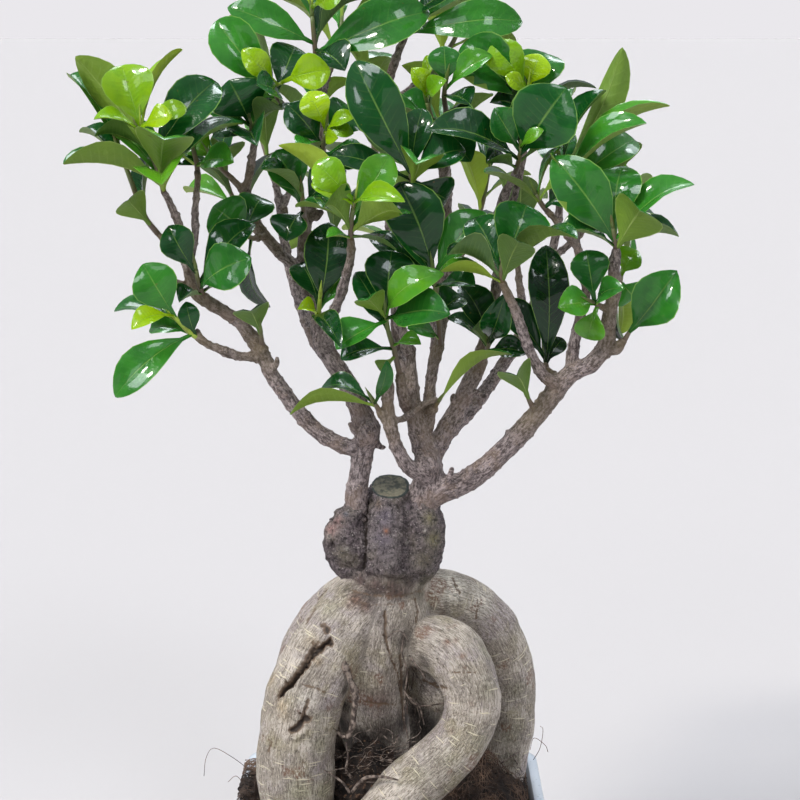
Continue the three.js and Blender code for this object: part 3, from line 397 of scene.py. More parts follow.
def coir_hair(x, y, length, lift):
    """A springy hair that starts in the soil and curls over it."""
    heading = draw.uniform(0, 2 * math.pi)
    curl = draw.uniform(-2.6, 2.6)
    inside = soil_edge - 0.001
    line = []
    for step in range(hair_parts + 1):
        share = step / hair_parts
        x = max(-inside, min(inside, x))
        y = max(-inside, min(inside, y))
        height = soil_height(x, y) + 0.0005 + lift * math.sin(math.pi * min(1, share * 1.15))
        line.append((Vector((x, y, height)), hair_radius * (1.25 - 0.6 * share)))
        heading += curl / hair_parts
        x += length / hair_parts * math.cos(heading)
        y += length / hair_parts * math.sin(heading)
    return line


# Hairs lie all over the soil, thicker on its heaps and along the wall, and spill over the left lip.
draw = random.Random(41)
hairs = [coir_hair(draw.uniform(-0.07, 0.07), draw.uniform(-0.07, 0.07), draw.uniform(0.008, 0.028),
                   draw.uniform(0.0005, 0.005)) for _ in range(520)]
for heap_x, heap_y, reach, _ in soil_heaps:
    hairs += [coir_hair(draw.gauss(heap_x, reach / 2), draw.gauss(heap_y, reach / 2),
                        draw.uniform(0.012, 0.030), draw.uniform(0.002, 0.009)) for _ in range(70)]
for _ in range(150):
    edge = draw.choice((-0.068, 0.068))
    x, y = draw.choice(((edge, draw.uniform(-0.06, 0.07)), (draw.uniform(-0.06, 0.06), edge)))
    hairs.append(coir_hair(x, y, draw.uniform(0.010, 0.024), draw.uniform(0.003, 0.010)))
for _ in range(150):
    x, y = -draw.uniform(0.070, soil_edge), draw.uniform(0.002, 0.050)
    line = [Vector((x, y, soil_height(x, y) + 0.001))]
    for reach, lift in ((0.0025, 0.0062), (0.0050, 0.0068), (0.0078, 0.0045)):
        y += draw.uniform(-0.003, 0.003)
        line.append(Vector((-soil_edge - reach, y, 0.0842 + lift * draw.uniform(0.5, 1.1))))
    hairs.append([(knot, 0.00015) for knot in line])
stray_hairs = [[(247, 768, 60), (232, 757, 56), (214, 748, 52), (206, 758, 50), (204, 776, 50)],
               [(244, 784, 40), (236, 776, 36), (228, 782, 34)],
               [(532, 762, 62), (540, 748, 60), (543, 730, 58), (540, 726, 58)],
               [(530, 750, 60), (534, 738, 58), (545, 745, 56), (548, 752, 56)]]
for trace in stray_hairs:
    points = [place(*knot) for knot in trace]
    hairs.append([(smooth_course(points, step / 14), 0.00016) for step in range(15)])
coir = swept("coir_hairs", hairs, 0)
coir_fibre, tree, shader = new_material("coir_fibre", Roughness=0.7)
spot = coordinates(tree)
coir_colour = coated(tree, colour(48, 36, 30),
                     (between(tree, speckle(tree, spot, 60, 2), 0.4, 0.62), (120, 94, 76)))
feed(tree, coir_colour, shader, "Base Color")
coir.data.materials.append(coir_fibre)
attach(coir, "root")

bpy.ops.mesh.primitive_ico_sphere_add(subdivisions=1, radius=1)
crumb = bpy.context.object
crumb_shape = np.array([v.co[:] for v in crumb.data.vertices])
crumbs = []
for _ in range(260):
    x, y = draw.uniform(-0.069, 0.069), draw.uniform(-0.069, 0.069)
    size = draw.uniform(0.0006, 0.0021)
    piece = crumb.copy()
    piece.data = crumb.data.copy()
    bpy.context.scene.collection.objects.link(piece)
    stretch = np.array([[draw.uniform(0.6, 1.3) for _ in range(3)] for _ in crumb_shape])
    seat = np.array([x, y, soil_height(x, y) + 0.001 + 0.2 * size])
    piece.data.vertices.foreach_set("co", (crumb_shape * stretch * size + seat).ravel())
    crumbs.append(piece)
bpy.data.objects.remove(crumb)


def join_pieces(pieces, name):
    """Makes one object of the pieces, in the place of the first."""
    bpy.ops.object.select_all(action="DESELECT")
    for piece in pieces:
        piece.select_set(True)
    bpy.context.view_layer.objects.active = pieces[0]
    bpy.ops.object.join()
    joined = bpy.context.object
    joined.name = name
    return joined


crumbs = join_pieces(crumbs, "peat_crumbs")
crumbs.data.materials.append(peat)
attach(crumbs, "root")

# ---- Rootstock ----
# The swollen roots, the neck and the dark old stock grew as one body. Smooth pale bark covers
# the roots; the stock is rough, healed over at both sides, and sawn off slanting to the front.
# A course is a list of (column, row, depth, radius), the last two in millimetres, and each of
# these runs from the neck down into the soil.
roots = {
    "front_left": [(378, 590, -4, 15), (354, 612, -9, 17.5), (331, 645, -15, 19), (307, 690, -21, 20),
                   (297, 740, -24, 20), (298, 790, -23, 19.5), (314, 826, -18, 13), (330, 850, -14, 8)],
    "back_left": [(372, 590, 6, 12), (338, 606, 16, 14), (310, 650, 24, 15), (296, 712, 24, 14),
                  (290, 768, 28, 11), (292, 812, 32, 7)],
    "middle": [(386, 594, -2, 20), (374, 634, -4, 21.5), (370, 684, -2, 20), (376, 735, 2, 17),
               (380, 785, 3, 13), (381, 825, 2, 9)],
    "loop": [(420, 646, 2, 12), (437, 645, -11, 15.5), (457, 658, -20, 16), (471, 688, -26, 14.5),
             (470, 716, -29, 14), (457, 742, -32, 14), (432, 768, -35, 14.5), (404, 793, -38, 14.5),
             (376, 822, -40, 13), (352, 850, -40, 9)],
    "right_arch": [(400, 592, 6, 14), (440, 595, 15, 14.5), (476, 610, 25, 14), (501, 645, 33, 14),
                   (511, 690, 37, 13.5), (509, 736, 36, 12.5), (503, 780, 35, 11), (498, 815, 34, 8)],
    "back": [(388, 592, 12, 14), (376, 604, 32, 16), (356, 640, 48, 17), (345, 692, 50, 15),
             (352, 742, 54, 13), (364, 786, 56, 8)],
    "inner": [(412, 640, 10, 10), (424, 664, 8, 11), (433, 686, 2, 10.5), (440, 697, -3, 8.5)],
    "inner_low": [(420, 655, 34, 12), (424, 700, 42, 12), (420, 748, 42, 12), (416, 795, 40, 9)],
    "back_right": [(404, 598, 12, 13), (428, 618, 34, 13), (440, 660, 50, 12.5), (432, 708, 58, 11),
                   (444, 752, 58, 10), (452, 792, 56, 7)],
}
old_wood = {
    "neck": [(389, 610, 0, 21), (388, 588, 0, 20), (387, 572, 0, 21.5), (385, 548, 3, 24),
             (387, 528, 8, 20), (390, 508, 9, 16.5)],
    "old_stem": [(386, 580, -5, 16), (385, 556, -7, 17), (386, 530, -7, 15), (389, 505, -6, 11.5),
                 (390, 488, -4, 9.6), (391, 462, -2, 9)],
    "callus": [(361, 512, -7, 7), (351, 520, -8, 9.5), (345, 536, -8, 11.5), (350, 556, -5, 11),
               (366, 572, -4, 9)],
    "shoulder": [(425, 504, -5, 7.5), (423, 514, -5, 10.5), (418, 536, -5, 14), (412, 560, -3, 14),
                 (402, 574, 0, 11)],
    "front": [(376, 520, -8, 9), (376, 545, -9, 12), (380, 566, -6, 12)],
    "behind": [(372, 560, 12, 15), (374, 530, 14, 14), (384, 506, 13, 12)],
    "behind_right": [(412, 558, 12, 14), (412, 530, 13, 13), (404, 506, 12, 11.5)],
}
saw_point = place(391, 486, -4)
saw_slant = Vector((0.06, -0.34, 1)).normalized()


def course(trace, spacing=0.002):
    """Close-set (point, radius) along a traced course."""
    points = [place(*knot[:3]) for knot in trace]
    length = sum((there - here).length for here, there in zip(points, points[1:]))
    steps = max(4, round(length / spacing))
    line = []
    for step in range(steps + 1):
        at = step / steps * (len(trace) - 1)
        span = min(int(at), len(trace) - 2)
        radius = trace[span][3] + (trace[span + 1][3] - trace[span][3]) * (at - span)
        line.append((smooth_course(points, step / steps), radius / 1000))
    return line


dome = ((0.45, 0.86), (0.80, 0.55), (0.95, 0.20))


def round_ends(line, start=False):
    """Closes a course with a dome in place of a flat face."""
    point, radius = line[-1]
    heading = (point - line[-2][0]).normalized()
    line = line + [(point + heading * radius * rise, radius * size) for rise, size in dome]
    if start:
        line = round_ends(line[::-1])[::-1]
    return line


root_lines = [round_ends(course(trace), start=True) for trace in roots.values()]
stock_lines = [round_ends(course(trace), start=True) for trace in old_wood.values()]
rootstock = swept("rootstock_wood", root_lines + stock_lines, 6)


def grow_together(piece, voxel, passes):
    """Joins tubes that run into each other under one skin."""
    apply_modifier(piece, "REMESH", mode="VOXEL", voxel_size=voxel)
    apply_modifier(piece, "SMOOTH", factor=0.5, iterations=passes)


grow_together(rootstock, voxel=0.0009, passes=16)
# The saw's cut is filled with one face of many sides, and its rim is inset from it.
bpy.ops.object.mode_set(mode="EDIT")
bpy.ops.mesh.select_all(action="SELECT")
bpy.ops.mesh.bisect(plane_co=saw_point, plane_no=saw_slant, use_fill=True, clear_outer=True)
bpy.ops.object.mode_set(mode="OBJECT")
bpy.ops.object.mode_set(mode="EDIT")
bpy.ops.mesh.select_all(action="DESELECT")
bpy.ops.object.mode_set(mode="OBJECT")
for face in rootstock.data.polygons:
    face.select = len(face.vertices) > 8
    face.material_index = int(face.select)
bpy.ops.object.mode_set(mode="EDIT")
bpy.ops.mesh.select_mode(type="FACE")
bpy.ops.mesh.inset(thickness=0.0011, depth=0)
bpy.ops.object.mode_set(mode="OBJECT")
for face in rootstock.data.polygons:
    if face.material_index == 1 and not face.select:
        face.material_index = 2


def corners_of(piece):
    places = np.empty(len(piece.data.vertices) * 3)
    piece.data.vertices.foreach_get("co", places)
    return places.reshape(-1, 3)


def normals_of(piece):
    ways = np.empty(len(piece.data.vertices) * 3)
    piece.data.vertices.foreach_get("normal", ways)
    return ways.reshape(-1, 3)


def store(piece, name, values):
    """Keeps a number or a vector for each corner, for the material to read."""
    kind, field = ("FLOAT", "value") if values.ndim == 1 else ("FLOAT_VECTOR", "vector")
    attributes = piece.data.attributes
    attribute = attributes.get(name) or attributes.new(name, kind, "POINT")
    attribute.data.foreach_set(field, values.astype(np.float32).ravel())


def stored(tree, name, output="Fac"):
    """What `store` kept, as an output in a material."""
    return add_node(tree, "Attribute", attribute_name=name).outputs[output]


def follow_grain(piece, lines):
    """Stores each corner's place on the straightened wood, and returns the number of its line."""
    centres, headings, sides, lengths, radii, numbers = [], [], [], [], [], []
    for number, line in enumerate(lines):
        points = np.array([point[:] for point, _ in line])
        heading = np.gradient(points, axis=0)
        heading /= np.linalg.norm(heading, axis=1)[:, None]
        side = np.array([0.31, -0.9, 0.2])
        travelled = 0.37 * number
        for index, direction in enumerate(heading):
            side = side - direction * side.dot(direction)
            side /= np.linalg.norm(side)
            if index:
                travelled += np.linalg.norm(points[index] - points[index - 1])
            centres.append(points[index])
            headings.append(direction)
            sides.append(side)
            lengths.append(travelled)
            radii.append(line[index][1])
            numbers.append(number)
    centres, headings, sides = map(np.array, (centres, headings, sides))
    radii, lengths, numbers = map(np.array, (radii, lengths, numbers))
    others = np.cross(headings, sides)
    corners = corners_of(piece)
    nearest = np.empty(len(corners), int)
    for start in range(0, len(corners), 4000):
        chunk = corners[start:start + 4000]
        away = np.linalg.norm(chunk[:, None] - centres[None], axis=2) - radii
        nearest[start:start + 4000] = away.argmin(1)
    offset = corners - centres[nearest]

    def part(directions):
        return (offset * directions[nearest]).sum(1)

    store(piece, "grain", np.stack([lengths[nearest] + part(headings), part(sides), part(others)], 1))
    return numbers[nearest]


nearest_line = follow_grain(rootstock, root_lines + stock_lines)
corners = corners_of(rootstock)
neck_height = place(385, 579, -20).z
is_old = np.clip((corners[:, 2] - neck_height) / 0.017 + 0.72, 0, 1)
is_old *= np.where(nearest_line >= len(root_lines), 1, 0.0)
store(rootstock, "old_bark", is_old)

# The crust stops at the saw's cut.
below_cut = (corners - np.array(saw_point)) @ np.array(saw_slant) < -0.0012
rough = rootstock.vertex_groups.new(name="rough")
for level in range(1, 9):
    chosen = np.nonzero(np.round(is_old * below_cut * 8) == level)[0]
    if len(chosen):
        rough.add(chosen.tolist(), level / 8, "REPLACE")
swells = rough_texture("swells", "CLOUDS", 0.022, noise_depth=1)
lumps = rough_texture("lumps", "CLOUDS", 0.0075, noise_depth=2)
crust = rough_texture("crust", "CLOUDS", 0.0032, noise_depth=2)
pits = rough_texture("pits", "VORONOI", 0.0048)
roughen(rootstock, swells, 0.0026)
roughen(rootstock, lumps, 0.0009)
roughen(rootstock, lumps, 0.0026, "rough")
roughen(rootstock, crust, 0.0022, "rough")
roughen(rootstock, pits, -0.0010, "rough", mid_level=0.3)


def seen_at(piece, column, row):
    """The point of the piece that the camera sees at a pixel, if it sees one."""
    found, point, _, _ = piece.ray_cast(eye, sight(column, row).normalized())
    return np.array(point) if found else None


def along_pixels(piece, pixels):
    """Points of the piece's skin under a line drawn on the picture, a pixel apart."""
    found = []
    for (c0, r0), (c1, r1) in zip(pixels, pixels[1:]):
        count = max(1, round(math.hypot(c1 - c0, r1 - r0)))
        for index in range(count + 1):
            share = index / count
            hit = seen_at(piece, c0 + (c1 - c0) * share, r0 + (r1 - r0) * share)
            if hit is not None:
                found.append(hit)
    return found


def near_line(corners, points):
    """How far each corner is from the nearest point, frayed as torn bark is."""
    away = np.full(len(corners), 1.0)
    for point in points:
        away = np.minimum(away, np.linalg.norm(corners - point, axis=1))
    for index in np.nonzero(away < 0.012)[0]:
        away[index] *= 1 + 0.9 * noise.noise(Vector(corners[index]) * 420)
        away[index] += 0.00072 * noise.noise(Vector(corners[index]) * 900)
    return np.abs(away)


def press(piece, marks):
    """Presses lines into the skin, or raises them, and stores how dark each is."""
    corners = corners_of(piece)
    dark = np.zeros(len(corners))
    moved = np.zeros(len(corners))
    for pixels, width, depth, darkness in marks:
        shape = np.exp(-(near_line(corners, along_pixels(piece, pixels)) / width) ** 2)
        moved += depth * shape
        dark = np.maximum(dark, darkness * shape)
    piece.data.vertices.foreach_set("co", (corners - normals_of(piece) * moved[:, None]).ravel())
    store(piece, "mark", dark)
    piece.data.update()


# Wounds, scars, creases and raised edges of bark: the pixels a line runs through, its width and
# depth in metres, raised where the depth is below zero, and how dark it is.
press(rootstock, [
    ([(329, 641), (318, 650), (306, 664), (297, 676), (286, 686), (278, 697)], 0.0013, 0.0036, 1.0),
    ([(318, 642), (308, 655), (300, 668)], 0.0010, 0.0016, 0.7),
    ([(304, 664), (294, 676), (284, 690)], 0.0012, 0.0020, 0.8),
    ([(330, 648), (316, 662), (300, 684)], 0.0016, -0.0012, 0.0),
    ([(325, 626), (327, 630)], 0.0014, 0.0014, 0.85),
    ([(291, 731), (298, 727), (304, 720)], 0.0015, 0.0024, 1.0),
    ([(308, 700), (305, 712), (302, 722)], 0.0008, 0.0012, 0.7),
    ([(288, 737), (296, 738), (304, 732)], 0.0012, -0.0014, 0.0),
    ([(366, 500), (365, 520), (364, 545), (362, 568)], 0.0013, 0.0032, 0.85),
    ([(405, 500), (406, 520), (404, 545), (403, 568)], 0.0010, 0.0016, 0.55),
    ([(331, 522), (332, 512), (340, 503), (346, 500)], 0.0014, 0.0026, 0.9),
    ([(330, 540), (333, 546)], 0.0012, 0.0018, 0.7),
    ([(345, 568), (362, 574), (380, 578), (402, 580), (425, 575)], 0.0012, 0.0018, 0.1),
    ([(352, 590), (374, 596), (400, 597), (424, 590)], 0.0006, 0.0007, 0.3),
    ([(348, 599), (372, 605), (398, 604), (414, 600)], 0.0005, 0.0005, 0.25),
    ([(385, 610), (385, 622), (386, 640), (391, 658), (398, 674), (401, 695)], 0.0005, 0.0011, 0.6),
    ([(366, 702), (378, 704), (395, 705)], 0.0005, 0.0007, 0.5),
    ([(326, 590), (318, 600), (306, 622)], 0.0010, 0.0018, 0.45),
    ([(453, 578), (456, 588), (460, 592)], 0.0005, 0.0006, 0.6),
    ([(478, 600), (477, 610), (476, 618)], 0.0005, 0.0006, 0.5),
    ([(416, 600), (418, 612), (416, 624)], 0.0006, 0.0010, 0.4),
    ([(424, 680), (436, 686), (446, 688)], 0.0007, 0.0010, 0.5),
    ([(401, 655), (402, 690), (404, 720)], 0.0010, 0.0012, 0.5),
    ([(450, 672), (462, 673), (478, 672)], 0.0004, 0.0006, 0.45),
    ([(300, 684), (316, 688), (326, 693)], 0.0004, 0.0005, 0.4),
    ([(262, 735), (272, 742), (268, 752)], 0.0005, 0.0005, 0.45),
])


# Tints for the stains, and for painted shade: shade, half_shade, deep_shade, hollow and black_hollow are
# painted shade, and the collar tint, dark at the neck and on the middle root, is partly the bark's own
# colour and partly painted shade.
stain_and_shade_tints = {
    "olive": (136, 134, 96), "moss": (90, 81, 60), "dark_moss": (73, 69, 50),
    "lichen": (113, 106, 64), "grey_lichen": (114, 111, 84), "dusk": (92, 82, 90),
    "tan": (176, 152, 112), "straw": (193, 170, 133), "plum": (150, 138, 140),
    "rose_grey": (169, 158, 156), "rust_red": (112, 72, 52), "orange": (160, 100, 62),
    "pink": (158, 122, 116), "dull_pink": (140, 106, 102), "violet": (95, 84, 106),
    "light_violet": (118, 102, 118), "half_shade": (129, 117, 112), "shade": (109, 99, 100),
    "deep_shade": (75, 65, 60), "hollow": (54, 45, 40), "black_hollow": (42, 35, 31),
    "bleached": (232, 224, 209), "chalk": (207, 199, 187), "blue_grey": (168, 176, 196),
    "brown": (120, 96, 70), "collar_and_shade": (92, 72, 66),
}


def stain_and_shade(piece, patches, fallback):
    """Tints the skin in soft patches of stain and of painted shade: (column, row, reach in millimetres,
    tint, strength).
    """
    corners = corners_of(piece)
    tint = np.tile(np.array(fallback[:3]), (len(corners), 1))
    share = np.zeros(len(corners))
    for column, row, reach, shade, strength in patches:
        hit = seen_at(piece, column, row)
        if hit is not None:
            away = np.linalg.norm(corners - hit, axis=1)
            weight = (strength * np.exp(-(away / (reach / 1000)) ** 2))[:, None]
            tint = tint * (1 - weight) + np.array(colour(*stain_and_shade_tints[shade])[:3]) * weight
            share = np.maximum(share, weight[:, 0])
    store(piece, "tint", tint)
    store(piece, "stain_and_shade_share", np.clip(1.3 * share, 0, 1))


# Mostly from the left root over the hollow and the loop to the right arch, then up the stock.
# The darkest patches are painted shade: in the valley and the hollow between the roots, under
# the neck, beside the callus, and on the shaded sides of the middle root and the loop; the rest
# are the bark's own stains.
stain_and_shade(rootstock, [
    (300, 790, 9, "olive", 0.7), (320, 745, 7, "olive", 0.6), (325, 790, 8, "olive", 0.7),
    (290, 760, 7, "plum", 0.5), (262, 700, 6, "tan", 0.8), (272, 680, 6, "tan", 0.7),
    (258, 745, 6, "tan", 0.6), (300, 690, 6, "plum", 0.5), (318, 720, 6, "olive", 0.4),
    (282, 706, 4, "straw", 0.8), (318, 662, 3.5, "straw", 0.7), (258, 720, 5, "tan", 0.6),
    (330, 610, 6, "olive", 0.5), (310, 640, 6, "tan", 0.5), (285, 715, 5, "tan", 0.5),
    (356, 598, 5, "rust_red", 0.9), (366, 606, 4.5, "rust_red", 0.85), (348, 588, 4.5, "moss", 0.8),
    (350, 606, 3, "rust_red", 0.6), (372, 592, 8, "deep_shade", 0.95),
    (398, 594, 8, "deep_shade", 0.95), (420, 594, 6, "moss", 0.8), (345, 690, 4, "hollow", 0.9),
    (344, 705, 5, "hollow", 0.9), (343, 725, 6, "hollow", 0.95), (343, 750, 7, "hollow", 0.95),
    (345, 775, 7, "hollow", 0.95), (380, 615, 7, "shade", 0.7), (370, 640, 7, "half_shade", 0.5),
    (380, 700, 11, "collar_and_shade", 0.85), (383, 732, 11, "deep_shade", 0.95),
    (374, 752, 9, "hollow", 0.95), (360, 735, 6, "hollow", 0.9), (392, 756, 8, "hollow", 0.9),
    (390, 635, 8, "half_shade", 0.6), (388, 676, 6, "half_shade", 0.6),
    (435, 762, 8, "half_shade", 0.7), (372, 655, 6, "half_shade", 0.6),
    (372, 670, 5, "half_shade", 0.5), (345, 640, 5, "plum", 0.4), (404, 640, 7, "deep_shade", 0.85),
    (406, 680, 7, "hollow", 0.95), (404, 720, 8, "hollow", 0.95), (430, 688, 8, "shade", 0.85),
    (425, 662, 6, "deep_shade", 0.85), (425, 728, 11, "black_hollow", 0.95),
    (416, 712, 7, "black_hollow", 0.9), (431, 600, 6, "olive", 0.6), (455, 588, 9, "bleached", 0.9),
    (480, 604, 9, "bleached", 0.85), (305, 700, 7, "chalk", 0.7), (505, 650, 9, "half_shade", 0.5),
    (517, 690, 8, "grey_lichen", 0.7), (512, 735, 9, "grey_lichen", 0.7),
    (512, 760, 6, "moss", 0.8), (430, 625, 8, "rose_grey", 0.6), (440, 650, 8, "rose_grey", 0.6),
    (447, 642, 2.2, "rust_red", 0.9), (456, 640, 1.8, "rust_red", 0.7),
    (463, 656, 2.2, "rust_red", 0.8), (465, 668, 1.8, "rust_red", 0.7),
    (472, 704, 2, "rust_red", 0.7), (451, 731, 2.2, "rust_red", 0.7), (485, 650, 6, "olive", 0.6),
    (488, 690, 6, "olive", 0.5), (480, 740, 7, "olive", 0.5), (450, 760, 7, "olive", 0.5),
    (420, 775, 6, "olive", 0.5), (470, 770, 5, "plum", 0.5), (460, 690, 6, "rose_grey", 0.5),
    (388, 588, 4, "rust_red", 0.5), (408, 584, 4, "rust_red", 0.6), (428, 580, 4, "dark_moss", 0.6),
    (331, 530, 5, "pink", 0.9), (338, 520, 4, "dull_pink", 0.8), (342, 552, 4, "moss", 0.7),
    (431, 518, 5, "lichen", 0.8), (434, 540, 6, "lichen", 0.85), (424, 560, 7, "moss", 0.8),
    (385, 516, 7, "violet", 0.75), (382, 540, 8, "violet", 0.7), (388, 558, 7, "dusk", 0.6),
    (420, 500, 5, "light_violet", 0.7), (408, 508, 4, "light_violet", 0.6),
    (386, 531, 1.7, "orange", 0.9), (329, 537, 1.5, "chalk", 0.95), (347, 549, 1.3, "chalk", 0.9),
    (346, 514, 1.2, "blue_grey", 0.8), (407, 543, 1, "chalk", 0.9), (425, 531, 1, "chalk", 0.9),
    (378, 504, 3, "brown", 0.7), (350, 510, 4, "deep_shade", 0.6), (360, 580, 5, "collar_and_shade", 0.9),
    (375, 583, 5, "collar_and_shade", 0.9), (392, 584, 5, "collar_and_shade", 0.9), (408, 583, 5, "deep_shade", 0.9),
    (424, 581, 5, "dark_moss", 0.9),
], colour(150, 142, 130))
apply_modifier(rootstock, "DECIMATE", ratio=0.53)
smooth(rootstock, 60)

root_bark, tree, shader = new_material("smooth_root_bark", Roughness=0.62)
spot = coordinates(tree)
grain = stored(tree, "grain", "Vector")
mark = stored(tree, "mark")
is_stock = stored(tree, "old_bark")
tint = stored(tree, "tint", "Color")
stain_and_shade_share = stored(tree, "stain_and_shade_share")
height = add_node(tree, "SeparateXYZ", {0: spot}).outputs["Z"]
fibres = speckle(tree, scaled(tree, grain, (130, 1500, 1500)), 1.0, 3, 0.6)
threads = speckle(tree, scaled(tree, grain, (420, 3600, 3600)), 1.0, 2, 0.6)
mottle = speckle(tree, spot, 70, 4, 0.6)
fine = speckle(tree, scaled(tree, grain, (620, 1100, 1100)), 1.0, 4, 0.75)
# Pale bark: grey and olive clouds, the stains and the painted shade, fine fibres, and dark and light
# specks.
pale = coated(
    tree, colour(143, 133, 121),
    (between(tree, mottle, 0.36, 0.66), (206, 194, 181)),
    (between(tree, speckle(tree, spot, 46, 3), 0.48, 0.62, 0.0, 0.75), (158, 146, 148)),
    (between(tree, speckle(tree, spot, 58, 2), 0.54, 0.66, 0.0, 0.7), (140, 130, 96)),
    (combine(tree, stain_and_shade_share, between(tree, mottle, 0.3, 0.6, 0.55, 1.0)), tint),
    (between(tree, fibres, 0.42, 0.54, 0.62, 0.0), (96, 84, 68)),
    (between(tree, threads, 0.54, 0.62, 0.0, 0.5), (218, 208, 192)),
    (between(tree, fine, 0.55, 0.62, 0.0, 0.8), (76, 64, 54)),
    (between(tree, fine, 0.43, 0.36, 0.0, 0.6), (218, 208, 196)))
# The darker a patch of stain or painted shade is, the more it covers, with the grain of the bark
# still in it, which deepens the painted shade.
ridges = combine(tree, between(tree, fine, 0.34, 0.62, 1.45, 0.45),
                 between(tree, fibres, 0.38, 0.62, 0.7, 1.25))
stain_and_shade_on_grain = blend(tree, 1.0, tint, ridges, "MULTIPLY")
rust = combine(tree, between(tree, speckle(tree, spot, 62, 3), 0.60, 0.68),
               between(tree, fine, 0.42, 0.56))
# Breathing slits run across the grain, thicker low on the roots and none where the painted shade
# of the hollows is dark.
low = between(tree, height, 0.100, 0.170, 0.30, 0.0)
slit_cells = add_node(tree, "TexVoronoi", {"Vector": scaled(tree, grain, (640, 52, 52)), "Scale": 1.0})
dashes = combine(tree, between(tree, slit_cells.outputs["Distance"], 0.17, 0.22, 1.0, 0.0),
                 between(tree, combine(tree, speckle(tree, spot, 34, 1), low, "ADD"), 0.46, 0.54))
dashes = combine(tree, dashes, between(tree, tint, 0.215, 0.235))
crack_cells = add_node(tree, "TexVoronoi", {"Vector": scaled(tree, grain, (620, 90, 90)), "Scale": 1.37})
cracks = combine(tree, between(tree, crack_cells.outputs["Distance"], 0.08, 0.13, 1.0, 0.0),
                 between(tree, speckle(tree, spot, 40, 1), 0.46, 0.54))
pale = coated(
    tree, pale,
    (combine(tree, stain_and_shade_share, between(tree, tint, 0.05, 0.22, 0.9, 0.40)), stain_and_shade_on_grain),
    (combine(tree, rust, 0.75), (112, 74, 54)),
    (combine(tree, dashes, 0.9), (212, 202, 176)),
    (combine(tree, cracks, 0.7), (84, 72, 58)))

# Old bark: dark plates with scurfy edges, the stains and the painted shade, moss and pale grit.
crust_noise = speckle(tree, spot, 560, 5, 0.75)
plates = speckle(tree, scaled(tree, spot, (760, 760, 420)), 1.0, 4, 0.75)
dark_bark = coated(
    tree, colour(34, 28, 29),
    (between(tree, plates, 0.36, 0.62), (102, 89, 92)),
    (between(tree, crust_noise, 0.54, 0.62, 0.0, 0.7), (142, 130, 130)),
    (combine(tree, stain_and_shade_share, between(tree, plates, 0.38, 0.58, 0.35, 0.95)), tint),
    (between(tree, speckle(tree, spot, 60, 3), 0.52, 0.68, 0.0, 0.45), (92, 84, 64)),
    (between(tree, crust_noise, 0.44, 0.38, 0.0, 0.8), (28, 23, 23)),
    (between(tree, speckle(tree, spot, 1100, 2), 0.64, 0.70, 0.0, 0.8), (176, 166, 160)))
frayed = between(tree, speckle(tree, spot, 110, 3), 0.3, 0.7, -0.3, 0.3)
stock_share = between(tree, combine(tree, is_stock, frayed, "ADD"), 0.3, 0.7)
torn = combine(tree, between(tree, mark, 0.05, 0.32, 0.0, 0.85),
               between(tree, stock_share, 0.0, 1.0, 1.0, 0.0))
bark_colour = coated(
    tree, pale,
    (stock_share, dark_bark),
    (torn, (104, 82, 62)),
    (between(tree, mark, 0.35, 0.8, 0.0, 0.93), (44, 33, 26)))
feed(tree, bark_colour, shader, "Base Color")
feed(tree, between(tree, stock_share, 0.0, 1.0, 0.6, 0.8), shader, "Roughness")
grooves = combine(tree, fibres, combine(tree, dashes, 1.2), "ADD")
grooves = combine(tree, grooves, combine(tree, cracks, 1.2), "SUBTRACT")
skin = raise_surface(tree, shader, grooves, 0.5, 0.0005)
scab = combine(tree, combine(tree, crust_noise, combine(tree, stock_share, 3.0)), fine, "ADD")
raise_surface(tree, shader, scab, 0.55, 0.0008, skin)
rootstock.data.materials.append(root_bark)

sawn_end, tree, shader = new_material("sawn_end", Roughness=0.7)
spot = coordinates(tree)
from_front = add_node(tree, "VectorMath", {0: spot, 1: (0.1, 1, 0)}, operation="DOT_PRODUCT")
stains = speckle(tree, spot, 240, 4, 0.7)
worn = combine(tree, from_front.outputs["Value"], combine(tree, stains, 0.012), "ADD")
cut_colour = coated(
    tree, colour(50, 52, 42),
    (between(tree, stains, 0.38, 0.62), (118, 112, 92)),
    (combine(tree, between(tree, worn, -0.004, -0.012), 0.55), (142, 128, 98)))
feed(tree, cut_colour, shader, "Base Color")
raise_surface(tree, shader, stains, 0.5, 0.0008)
rootstock.data.materials.append(sawn_end)

sawn_rim, tree, shader = new_material("sawn_rim", Roughness=0.6)
rim_stains = speckle(tree, coordinates(tree), 300, 3)
rim_colour = coated(tree, colour(22, 30, 28), (between(tree, rim_stains, 0.4, 0.6), (48, 60, 52)))
feed(tree, rim_colour, shader, "Base Color")
rootstock.data.materials.append(sawn_rim)
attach(rootstock, "root")
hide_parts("rootstock")

